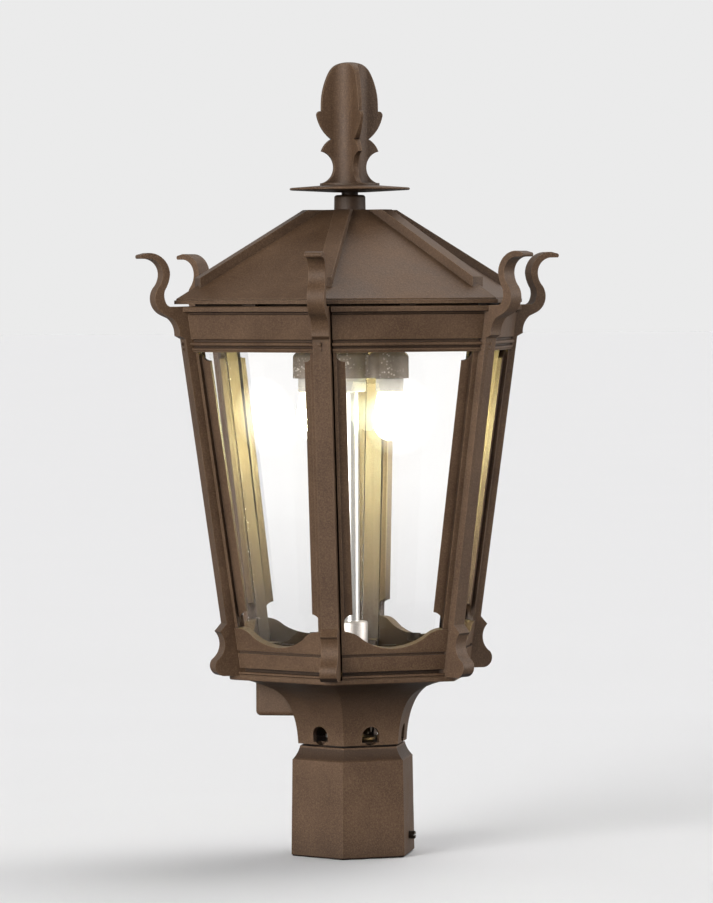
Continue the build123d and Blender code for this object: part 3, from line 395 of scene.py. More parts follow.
@dataclass
class Effects:
    """Surface effects that several finishes share, each built once as a group."""

    bevel_samples: int = 4
    flat_edge: float = 0.995
    sharp_edge: float = 0.80
    pit_width: float = 0.28
    pit_depth: float = 0.35
    peel_share: float = 0.9
    shelter_samples: int = 6
    groove_shade: float = 0.95
    shelter_shade: float = 0.9
    ring_wander: float = 5.0
    scratch_stretch: float = 18.0

    def __post_init__(self) -> None:
        """Build every shared group."""
        self.edges = self.build_edges()
        self.sand = self.build_sand()
        self.lathe = self.build_lathe()
        self.hollows = self.build_hollow_shade("hollows", False)
        self.own_hollows = self.build_hollow_shade("own_hollows", True)

    def build_edges(self) -> Tree:
        """Rounded normals, and a mask of the outer edges, where some coats are painted lighter, partly as
        rubbed wear and partly as painted highlight.

        Returns:
            The group's tree.
        """
        sizes = {"Radius": 0.0006, "Reach": 0.0012}
        graph, given, out = new_group("edge_rounding", sizes, {"Normal": VECTOR, "Mask": NUMBER})
        kind = {"samples": self.bevel_samples}
        near = graph.add("Bevel", kind, Radius=given.outputs["Radius"])
        wide = graph.add("Bevel", kind, Radius=given.outputs["Reach"])
        flat = graph.add("NewGeometry").outputs["Normal"]
        same = graph.dot(wide.outputs[0], flat)
        graph.feed(out.inputs["Normal"], near.outputs[0])
        graph.feed(out.inputs["Mask"], graph.band(same, self.flat_edge, self.sharp_edge))
        return graph.tree

    def build_sand(self) -> Tree:
        """Grain of a sand casting under paint: fine height, pits and broad mottling.

        Returns:
            The group's tree.
        """
        scales = {"Grain": 1500.0, "Pits": 420.0, "Mottle": 26.0}
        made = {"Height": NUMBER, "Speckle": NUMBER, "Pitting": NUMBER, "Mottle": NUMBER}
        graph, given, out = new_group("sand_grain", scales, made)
        where = graph.spot()
        fine = graph.noise(where, given.outputs["Grain"], 4.0, 0.62)
        peel = graph.noise(where, given.outputs["Pits"], 2.0, 0.5)
        pits = graph.band(graph.cells(where, given.outputs["Pits"]), 0.0, self.pit_width)
        broad = graph.noise(where, given.outputs["Mottle"], 5.0, 0.6)
        low = graph.times(graph.math("SUBTRACT", 1.0, pits), self.pit_depth)
        height = graph.math("SUBTRACT", graph.math("ADD", fine, graph.times(peel, self.peel_share)), low)
        graph.feed(out.inputs["Height"], height)
        graph.feed(out.inputs["Speckle"], graph.band(fine, 0.50, 0.68))
        graph.feed(out.inputs["Pitting"], graph.band(fine, 0.50, 0.34))
        graph.feed(out.inputs["Mottle"], graph.band(broad, 0.3, 0.7))
        return graph.tree

    def build_hollow_shade(self, name: str, own: bool) -> Tree:
        """Mask of painted shade in grooves and sheltered hollows, where the coat is painted darkest.

        Args:
            name: the group's name.
            own: whether only the piece's own walls shelter it, as where a pane lies against it.

        Returns:
            The group's tree.
        """
        graph, given, out = new_group(name, {"Groove": 0.003, "Shelter": 0.05}, {"Mask": NUMBER})
        kind = {"samples": self.shelter_samples, "only_local": own}
        # painted shade: ambient occlusion darkens grooves, and the shelter under and between parts
        close = graph.add("AmbientOcclusion", kind, Distance=given.outputs["Groove"]).outputs["AO"]
        broad = graph.add("AmbientOcclusion", kind, Distance=given.outputs["Shelter"]).outputs["AO"]
        grooves = graph.band(close, 0.9, 0.4, 0.0, self.groove_shade)
        shelter = graph.band(broad, 0.8, 0.15, 0.0, self.shelter_shade)
        graph.feed(out.inputs["Mask"], graph.math("MAXIMUM", grooves, shelter))
        return graph.tree

    def build_lathe(self) -> Tree:
        """Fine rings that a cutting tool leaves round an upright axis, with faint scratches.

        Returns:
            The group's tree.
        """
        made = {"Height": NUMBER, "Scratches": NUMBER}
        graph, given, out = new_group("tool_rings", {"Pitch": 2200.0}, made)
        where = graph.spot()
        axis = graph.parts(where)
        level = graph.times(axis[2], given.outputs["Pitch"])
        wander = graph.times(graph.noise(where, 160.0), self.ring_wander)
        rings = graph.math("SINE", graph.math("ADD", level, wander))
        drawn = graph.times(axis[2], self.scratch_stretch)
        stretched = graph.add("CombineXYZ", X=axis[0], Y=axis[1], Z=drawn)
        marks = graph.noise(stretched.outputs[0], 240.0, 5.0, 0.7)
        graph.feed(out.inputs["Height"], graph.times(rings, 0.5))
        graph.feed(out.inputs["Scratches"], graph.band(marks, 0.35, 0.75))
        return graph.tree


def colour(red: float, green: float, blue: float) -> Colour:
    """A linear colour with full cover."""
    return (red, green, blue, 1.0)


# ---------------------------------------------------------------- finishes
@dataclass(frozen=True)
class Finish:
    """What every finish has: a name, and a shader that its own class draws."""

    name: str

    def start(self) -> tuple[Material, Graph, Node]:
        """Begin the material.

        Returns:
            The new material, its graph and its Principled shader.
        """
        material = bpy.data.materials.new(self.name)
        material.use_nodes = True
        tree = material.node_tree
        return material, Graph(tree), tree.nodes["Principled BSDF"]

    def bump(
        self, graph: Graph, shader: Node, height: Socket, depth: float, strength: float, normal: Socket
    ) -> None:
        """Feed a height through a Bump node, its depth in millimetres, into the shader's normal."""
        node = graph.add("Bump", Strength=strength, Distance=depth * MM, Height=height, Normal=normal)
        graph.feed(shader.inputs["Normal"], node.outputs[0])


@dataclass(frozen=True)
class PaintedCasting(Finish):
    """Powder coat over a sand casting: grained, mottled, lighter at its edges from rubbed wear and a painted
    highlight.

    Painted shade darkens a band of heights, and the faces that look at the lantern's
    axis below a given height, darker towards the bottom; levels are in metres.
    """

    dark: Colour = colour(0.055, 0.0292, 0.0150)
    light: Colour = colour(0.089, 0.0510, 0.0285)
    rubbed_and_highlight: Colour = colour(0.21, 0.136, 0.080)
    # the shade colour serves the pits and the painted shade of hollows and height bands
    shade: Colour = colour(0.014, 0.0068, 0.0034)
    speckle: float = 0.24
    pitting: float = 0.3
    wear_and_highlight: float = 0.5
    least_wear_and_highlight: float = 0.45
    grain: float = 950.0
    relief: float = 0.24
    bump_strength: float = 0.55
    gloss: float = 0.52
    metallic: float = 0.1
    specular: float = 0.26
    # painted shade: a band of heights where the coat is painted darker, as under the bell and under the
    # plate
    shade_from: float = 0.0
    shade_full: float = 0.0
    shade_end: float = 1.0
    shade_fade: float = 0.0006
    band_shade: float = 0.0
    # painted shade: faces that look at the lantern's axis are painted darker towards the bottom, where the
    # lamps' light falls off
    inner_shade_low: float = 0.155
    inner_shade_high: float = 0.205
    inner_shade: float = 0.0
    glazed: bool = False

    def build(self, effects: Effects) -> Material:
        """Draw the shader.

        Args:
            effects: the shared groups.

        Returns:
            The finished material.
        """
        material, graph, shader = self.start()
        sand = graph.group(effects.sand, Grain=self.grain)
        edge = graph.group(effects.edges)
        worn_and_highlit = self.coat(graph, sand, edge.outputs["Mask"])
        # painted shade: the hollow mask and the height bands mix the coat towards the shade colour
        painted_shade = graph.group(effects.own_hollows if self.glazed else effects.hollows)
        shaded_coat = graph.mix(painted_shade.outputs["Mask"], worn_and_highlit, self.shade)
        graph.feed(shader.inputs["Base Color"], graph.mix(self.banded_shade(graph), shaded_coat, self.shade))
        rough = graph.band(sand.outputs["Mottle"], 0.0, 1.0, self.gloss - 0.05, self.gloss + 0.09)
        graph.feed(shader.inputs["Roughness"], rough)
        shader.inputs["Metallic"].default_value = self.metallic
        shader.inputs["Specular IOR Level"].default_value = self.specular
        grain, rounding = sand.outputs["Height"], edge.outputs["Normal"]
        self.bump(graph, shader, grain, self.relief, self.bump_strength, rounding)
        return material

    def coat(self, graph: Graph, sand: Node, edges: Socket) -> Socket:
        """Colour of the clean coat with its speckles, pits and lighter edges, partly rubbed wear and partly
        painted highlight.

        Args:
            graph: the material's graph.
            sand: the sand grain group.
            edges: mask of the outer edges.

        Returns:
            The coat's colour.
        """
        mottle = sand.outputs["Mottle"]
        ground = graph.mix(mottle, self.dark, self.light)
        bright = graph.mix(graph.times(sand.outputs["Speckle"], self.speckle), ground, self.rubbed_and_highlight)
        grained = graph.mix(graph.times(sand.outputs["Pitting"], self.pitting), bright, self.shade)
        # edges painted lighter: partly rubbed wear, partly painted highlight
        broken = graph.times(edges, graph.band(mottle, 0.0, 1.0, self.least_wear_and_highlight, 1.0))
        return graph.mix(graph.times(broken, self.wear_and_highlight), grained, self.rubbed_and_highlight)

    def banded_shade(self, graph: Graph) -> Socket:
        """Mask of painted shade: a band of heights, and the lower faces that look at the axis.

        Args:
            graph: the material's graph.

        Returns:
            The mask.
        """
        where = graph.spot()
        level = graph.parts(where)[2]
        # painted shade in a band of heights
        above = graph.band(level, self.shade_from, self.shade_full, 0.0, self.band_shade)
        below = graph.band(level, self.shade_end, self.shade_end + self.shade_fade, 1.0, 0.0)
        # painted shade on the lower inner faces
        outward = graph.dot(graph.add("NewGeometry").outputs["True Normal"], where)
        inner = graph.math("LESS_THAN", outward, 0.0)
        inner_shaded = graph.times(inner, graph.band(level, self.inner_shade_high, self.inner_shade_low, 0.0, self.inner_shade))
        return graph.math("MAXIMUM", graph.times(above, below), inner_shaded)


@dataclass(frozen=True)
class TurnedMetal(Finish):
    """Bright turned metal with tool rings and dull patches."""

    bright: Colour = colour(0.80, 0.79, 0.77)
    dull: Colour = colour(0.58, 0.57, 0.55)
    pitch: float = 9000.0
    gloss: float = 0.24
    dulling: float = 0.14
    rubbing: float = 0.5
    relief: float = 0.012
    bump_strength: float = 0.35

    def build(self, effects: Effects) -> Material:
        """Draw the shader.

        Args:
            effects: the shared groups.

        Returns:
            The finished material.
        """
        material, graph, shader = self.start()
        rings = graph.group(effects.lathe, Pitch=self.pitch)
        edge = graph.group(effects.edges, Radius=0.0003, Reach=0.0006)
        body = graph.mix(rings.outputs["Scratches"], self.dull, self.bright)
        edged = graph.mix(graph.times(edge.outputs["Mask"], self.rubbing), body, self.bright)
        graph.feed(shader.inputs["Base Color"], edged)
        rough = graph.band(rings.outputs["Scratches"], 0.0, 1.0, self.gloss + self.dulling, self.gloss)
        graph.feed(shader.inputs["Roughness"], rough)
        shader.inputs["Metallic"].default_value = 1.0
        height, rounding = rings.outputs["Height"], edge.outputs["Normal"]
        self.bump(graph, shader, height, self.relief, self.bump_strength, rounding)
        return material


@dataclass(frozen=True)
class BurnerIron(Finish):
    """Raw grey casting that heat has bleached in specks."""

    dark: Colour = colour(0.20, 0.168, 0.142)
    light: Colour = colour(0.31, 0.265, 0.228)
    bleached: Colour = colour(0.78, 0.74, 0.69)
    fleck_scale: float = 430.0
    fleck_cover: float = 0.9
    metallic: float = 0.35
    relief: float = 0.16
    bump_strength: float = 0.7

    def build(self, effects: Effects) -> Material:
        """Draw the shader.

        Args:
            effects: the shared groups.

        Returns:
            The finished material.
        """
        material, graph, shader = self.start()
        sand = graph.group(effects.sand, Grain=1100.0, Pits=520.0, Mottle=60.0)
        edge = graph.group(effects.edges, Radius=0.0007, Reach=0.0012)
        where = graph.spot()
        specks = graph.band(graph.cells(where, self.fleck_scale), 0.40, 0.22)
        flecks = graph.times(specks, graph.band(graph.noise(where, 90.0), 0.45, 0.65))
        ground = graph.mix(sand.outputs["Mottle"], self.dark, self.light)
        spotted = graph.mix(graph.times(flecks, self.fleck_cover), ground, self.bleached)
        graph.feed(shader.inputs["Base Color"], spotted)
        graph.feed(shader.inputs["Roughness"], graph.band(flecks, 0.0, 1.0, 0.62, 0.8))
        shader.inputs["Metallic"].default_value = self.metallic
        grain, rounding = sand.outputs["Height"], edge.outputs["Normal"]
        self.bump(graph, shader, grain, self.relief, self.bump_strength, rounding)
        return material


@dataclass(frozen=True)
class PlatedSteel(Finish):
    """Zinc-plated steel with a faint bloom and fine handling marks."""

    tint: Colour = colour(0.56, 0.55, 0.51)
    shade: Colour = colour(0.36, 0.35, 0.33)
    relief: float = 0.02
    bump_strength: float = 0.3

    def build(self, effects: Effects) -> Material:
        """Draw the shader.

        Args:
            effects: the shared groups.

        Returns:
            The finished material.
        """
        material, graph, shader = self.start()
        where = graph.spot()
        bloom = graph.band(graph.noise(where, 210.0, 4.0, 0.6), 0.35, 0.65)
        marks = graph.noise(where, 2400.0, 3.0, 0.6)
        edge = graph.group(effects.edges, Radius=0.0002, Reach=0.0004)
        graph.feed(shader.inputs["Base Color"], graph.mix(bloom, self.shade, self.tint))
        graph.feed(shader.inputs["Roughness"], graph.band(bloom, 0.0, 1.0, 0.48, 0.32))
        shader.inputs["Metallic"].default_value = 1.0
        self.bump(graph, shader, marks, self.relief, self.bump_strength, edge.outputs["Normal"])
        return material


@dataclass(frozen=True)
class Ceramic(Finish):
    """Unglazed white ceramic, chalky, scorched a little."""

    white: Colour = colour(0.62, 0.60, 0.56)
    scorched: Colour = colour(0.44, 0.40, 0.33)
    scorching: float = 0.5
    relief: float = 0.08
    bump_strength: float = 0.5

    def build(self, effects: Effects) -> Material:
        """Draw the shader.

        Args:
            effects: the shared groups.

        Returns:
            The finished material.
        """
        material, graph, shader = self.start()
        where = graph.spot()
        chalk = graph.noise(where, 1300.0, 4.0, 0.6)
        scorch = graph.band(graph.noise(where, 110.0, 4.0, 0.6), 0.5, 0.75)
        edge = graph.group(effects.edges, Radius=0.0005, Reach=0.001)
        body = graph.mix(graph.times(scorch, self.scorching), self.white, self.scorched)
        graph.feed(shader.inputs["Base Color"], body)
        graph.feed(shader.inputs["Roughness"], graph.band(chalk, 0.3, 0.7, 0.7, 0.85))
        self.bump(graph, shader, chalk, self.relief, self.bump_strength, edge.outputs["Normal"])
        return material


@dataclass(frozen=True)
class MantleCloth(Finish):
    """Knitted mantle, glowing: rows of open loops, whitest in the middle."""

    glow: float = 6.0
    low: float = 0.3115
    high: float = 0.348
    hot_end: float = 0.012
    rows: float = 5200.0
    loops_round: float = 420.0
    amber: Colour = colour(1.0, 0.83, 0.50)
    white: Colour = colour(1.0, 0.96, 0.86)
    shaded: Colour = colour(0.80, 0.76, 0.62)
    lit: Colour = colour(0.93, 0.90, 0.80)
    relief: float = 0.12
    bump_strength: float = 0.6

    def build(self, effects: Effects) -> Material:
        """Draw the shader.

        Args:
            effects: the shared groups, of which bare cloth uses none.

        Returns:
            The finished material.
        """
        material, graph, shader = self.start()
        texture = graph.add("TexCoord")
        level = graph.parts(texture.outputs["Object"])[2]
        across = graph.parts(texture.outputs["UV"])[0]
        up = graph.math("SINE", graph.times(level, self.rows))
        round_it = graph.math("SINE", graph.times(across, self.loops_round))
        knit = graph.times(graph.math("ADD", up, round_it), 0.5)
        hot = graph.band(level, self.high, self.low + self.hot_end)
        light = graph.mix(hot, self.amber, self.white)
        loops = graph.band(knit, -0.6, 0.6, 0.72, 1.0)
        graph.feed(shader.inputs["Emission Color"], graph.scaled(light, loops))
        graph.feed(shader.inputs["Base Color"], graph.mix(loops, self.shaded, self.lit))
        shader.inputs["Emission Strength"].default_value = self.glow
        graph.feed(shader.inputs["Roughness"], graph.band(knit, -1.0, 1.0, 0.95, 0.8))
        flat = graph.add("NewGeometry").outputs["Normal"]
        self.bump(graph, shader, knit, self.relief, self.bump_strength, flat)
        return material


@dataclass(frozen=True)
class PaneGlass(Finish):
    """Clear pane with a ripple that only its reflections show, and painted light: a glow painted on the
    panes where the mantles light the window, and a painted glare.

    The pane's own map runs along its face and up, in metres. The painted glow lies on the
    inner side, inside the opening, and the painted glare round the level of the mantles.
    """

    cover: float = 0.03
    painted_back_glow: float = 0.20
    painted_glare: float = 0.80
    slimmer: float = 0.0026
    heart: float = 0.332
    even: float = 0.055
    reach: float = 0.155
    painted_glare_out: float = 0.030
    painted_glare_full: float = 0.008
    painted_glare_falloff: float = 1.2
    lit: tuple[float, float, float] = (1.0, 0.975, 0.90)
    clean: Colour = colour(1.0, 1.0, 0.985)
    dusty: Colour = colour(0.96, 0.965, 0.94)
    ior: float = 1.45
    relief: float = 0.25
    bump_strength: float = 0.05

    def build(self, effects: Effects) -> Material:
        """Draw the shader.

        Args:
            effects: the shared groups, of which clear glass uses none.

        Returns:
            The finished material.
        """
        material, graph, shader = self.start()
        where = graph.spot()
        ripple = graph.noise(where, 18.0, 2.0, 0.4)
        dust = graph.band(graph.noise(where, 45.0, 5.0, 0.6), 0.45, 0.8)
        graph.feed(shader.inputs["Base Color"], graph.mix(dust, self.clean, self.dusty))
        graph.feed(shader.inputs["Roughness"], graph.band(dust, 0.0, 1.0, 0.01, 0.06))
        shader.inputs["Transmission Weight"].default_value = 1.0
        shader.inputs["IOR"].default_value = self.ior
        shader.inputs["Alpha"].default_value = self.cover
        # painted light: emission on the panes stands in for the mantles' glow filling the window and the
        # glare round them
        graph.feed(shader.inputs["Emission Color"], graph.scaled(self.lit, self.light(graph, where)))
        shader.inputs["Emission Strength"].default_value = (self.painted_back_glow + self.painted_glare) / self.cover
        flat = graph.add("NewGeometry").outputs["Normal"]
        self.bump(graph, shader, ripple, self.relief, self.bump_strength, flat)
        return material

    def light(self, graph: Graph, where: Socket) -> Socket:
        """Brightness of the painted glow and the painted glare together.

        Args:
            graph: the material's graph.
            where: place on the object.

        Returns:
            The brightness, as a share of the painted glow and the painted glare at their fullest.
        """
        across, level, _ = graph.parts(graph.add("TexCoord").outputs["UV"])
        rise = graph.math("SUBTRACT", level, self.heart)
        reach_up = graph.band(graph.math("ABSOLUTE", rise), self.even, self.reach, 1.0, 0.0)
        middle = WINDOW_HALF - WINDOW_FLARE * WINDOW_LEVEL + self.slimmer
        edge = graph.math("ADD", graph.times(level, WINDOW_FLARE), middle)
        open_part = graph.math("LESS_THAN", graph.math("ABSOLUTE", across), edge)
        square_on = graph.band(graph.add("LayerWeight", Blend=0.5).outputs["Facing"], 0.7, 0.35)
        near = graph.times(graph.times(reach_up, open_part), square_on)
        squares = graph.math("ADD", graph.math("POWER", across, 2.0), graph.math("POWER", rise, 2.0))
        core = graph.band(graph.math("SQRT", squares), self.painted_glare_out, self.painted_glare_full)
        shape = graph.add("NewGeometry")
        inner = graph.math("LESS_THAN", graph.dot(shape.outputs["True Normal"], where), 0.0)
        entered = graph.math("SUBTRACT", 1.0, shape.outputs["Backfacing"])
        far_side = graph.times(inner, entered)
        near_side = graph.times(graph.math("SUBTRACT", 1.0, inner), entered)
        whole = self.painted_back_glow + self.painted_glare
        # painted glow on the far panes' inner side, and a painted glare on the near panes round the mantles
        painted_back_glow_part = graph.times(graph.times(near, far_side), self.painted_back_glow / whole)
        spread = graph.times(graph.math("POWER", core, self.painted_glare_falloff), near_side)
        return graph.math("ADD", painted_back_glow_part, graph.times(spread, self.painted_glare / whole))


class Coat(Enum):
    """The finishes that the lantern's pieces take."""

    BRONZE = PaintedCasting("bronze_powder_coat")
    # painted shade: the frame's inner faces are painted darker towards the bottom
    FRAME_BRONZE = PaintedCasting("bronze_coat_glazed_frame", glazed=True, inner_shade=0.93)
    # painted shade: the collar's cove under the bell is painted darker
    COLLAR_BRONZE = PaintedCasting(
        "bronze_coat_dirty_cove", shade_from=0.0722, shade_full=0.0742, shade_end=0.0812, band_shade=0.62
    )
    # painted shade: the bell's flare under the plate is painted darker
    BELL_BRONZE = PaintedCasting(
        "bronze_coat_dirty_flare", shade_from=0.089, shade_full=0.131, shade_end=0.1335, band_shade=0.72
    )
    ALUMINIUM = TurnedMetal("turned_aluminium")
    CAST_ALUMINIUM = TurnedMetal(
        "cast_aluminium", bright=colour(0.66, 0.62, 0.585), dull=colour(0.46, 0.43, 0.405), gloss=0.42
    )
    BRASS = TurnedMetal(
        "tarnished_brass", bright=colour(0.30, 0.20, 0.085), dull=colour(0.13, 0.085, 0.04), gloss=0.36
    )
    BLACKED = PlatedSteel(
        "blacked_steel", tint=colour(0.075, 0.062, 0.050), shade=colour(0.035, 0.028, 0.022)
    )
    IRON = BurnerIron("burner_iron")
    STEEL = PlatedSteel("plated_steel")
    CERAMIC = Ceramic("white_ceramic")
    MANTLE = MantleCloth("mantle_cloth")
    GLASS = PaneGlass("pane_glass")


class Paint:
    """The finished materials, one for each coat."""

    def __init__(self) -> None:
        """Build the shared effects and every material."""
        effects = Effects()
        self.made = {coat: coat.value.build(effects) for coat in Coat}

    def __getitem__(self, coat: Coat) -> Material:
        """The material of a coat."""
        return self.made[coat]

    def dress(self, piece: Piece, coat: Coat, node: str, body: str = BASE, slot: Coat | None = None) -> None:
        """Finish a piece in a coat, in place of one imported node."""
        finish_piece(piece, self[coat], body, [node])


# ---------------------------------------------------------------- sub-assemblies
@dataclass
class Castings:
    """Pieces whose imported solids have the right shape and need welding, paint and a wider window."""

    paint: Paint
    bodies: dict[str, str] = field(
        default_factory=lambda: {
            "roof": "roof_top",
            "disc_spacer": "roof_top",
            "cap_disc": "roof_top",
            "finial": "finial",
        }
    )
    coats: dict[str, Coat] = field(
        default_factory=lambda: {
            "post_collar": Coat.COLLAR_BRONZE,
            "base_bell": Coat.BELL_BRONZE,
            "base_plate": Coat.BRONZE,
            "roof": Coat.BRONZE,
            "disc_spacer": Coat.BRONZE,
            "cap_disc": Coat.BRONZE,
            "finial": Coat.BRONZE,
            "control_box": Coat.BRONZE,
        }
    )
    strip: float = 7.85
    slimmer: float = 2.8
    draft: float = 1.6
    pane_depth: float = 6.0
    ramp: float = 0.6
    lap: float = 1.02
    sill: float = 156.5
    head: float = 379.9
    corner_turn: float = 30.0
    wall: float = 3.0
    free_end: float = 7.65
    closing: float = 1.28
    slack: float = 0.05

    def build(self) -> None:
        """Weld and paint every casting."""
        for node, coat in self.coats.items():
            piece = casting_copy(node, f"{node}_cast")
            self.paint.dress(piece, coat, node, self.bodies.get(node, BASE))
        for face, degrees in FACES.items():
            angle = math.radians(degrees)
            piece = casting_copy(f"side_frame_{face}", f"side_casting_{face}")
            self.widen(piece, angle)
            self.shut_corner(piece, angle)
            self.paint.dress(piece, Coat.FRAME_BRONZE, f"side_frame_{face}")

    def widen(self, piece: Piece, angle: float) -> None:
        """Slim the stiles and strips beside the window.

        Args:
            piece: a side casting.
            angle: the way its face looks, in radians.
        """
        along, outward = aside(angle), looking(angle)
        for vertex in piece.data.vertices:
            level = vertex.co.z
            if not self.sill * MM < level < self.head * MM:
                continue
            offset = vertex.co.dot(along)
            near = abs(offset) / (half_window(level) + self.strip * MM)
            if near < self.lap:
                behind = face_plane(level) - vertex.co.dot(outward) > self.pane_depth * MM
                shift = self.slimmer + self.draft * behind
                vertex.co += along * math.copysign(shift * MM * min(1.0, near / self.ramp), offset)

    def shut_corner(self, piece: Piece, angle: float) -> None:
        """Bring the back of the casting's free end close to the next one's post, so that no light leaks.

        Args:
            piece: a side casting.
            angle: the way its face looks, in radians.
        """
        outward = looking(angle)
        off_post = aside(angle - math.radians(self.corner_turn))
        for vertex in piece.data.vertices:
            depth = face_plane(vertex.co.z) - vertex.co.dot(outward)
            from_end = abs(vertex.co.dot(off_post) - self.free_end * MM)
            if depth > self.wall * MM and from_end < self.slack * MM:
                vertex.co -= off_post * self.closing * MM


@dataclass
class Glazing:
    """Six panes with seamed edges and the clips that hold them."""

    paint: Paint
    seam: float = 0.3
    wider: float = 2.2

    def build(self) -> None:
        """Build the panes and dress the clips."""
        for face, degrees in FACES.items():
            along = aside(math.radians(degrees))
            pane = casting_copy(f"glass_{face}", f"pane_{face}")
            self.fit(pane, along)
            self.grind(pane)
            self.unwrap(pane, along)
            self.paint.dress(pane, Coat.GLASS, f"glass_{face}")
        self.paint.dress(casting_copy("glass_clips", "pane_clips"), Coat.BLACKED, "glass_clips")

    def fit(self, pane: Piece, along: Vector) -> None:
        """Widen a pane along its face, to lap the slimmed stiles."""
        for vertex in pane.data.vertices:
            vertex.co += along * math.copysign(self.wider * MM, vertex.co.dot(along))

    def grind(self, pane: Piece) -> None:
        """Take the sharp edge off a pane.

        Args:
            pane: the pane to grind.
        """
        activate(pane)
        bpy.ops.object.mode_set(mode="EDIT")
        bpy.ops.mesh.select_all(action="SELECT")
        bpy.ops.mesh.dissolve_limited(angle_limit=math.radians(1))
        bpy.ops.mesh.select_all(action="SELECT")
        bpy.ops.mesh.bevel(offset=self.seam * MM, segments=1, affect="EDGES")
        bpy.ops.object.mode_set(mode="OBJECT")

    def unwrap(self, pane: Piece, along: Vector) -> None:
        """Map a pane by distance along its face and height, in metres.

        Args:
            pane: the pane to map.
            along: the direction along its face.
        """
        layer = pane.data.uv_layers.new(name="face")
        for loop in pane.data.loops:
            spot = pane.data.vertices[loop.vertex_index].co
            layer.data[loop.index].uv = (spot.dot(along), spot.z)


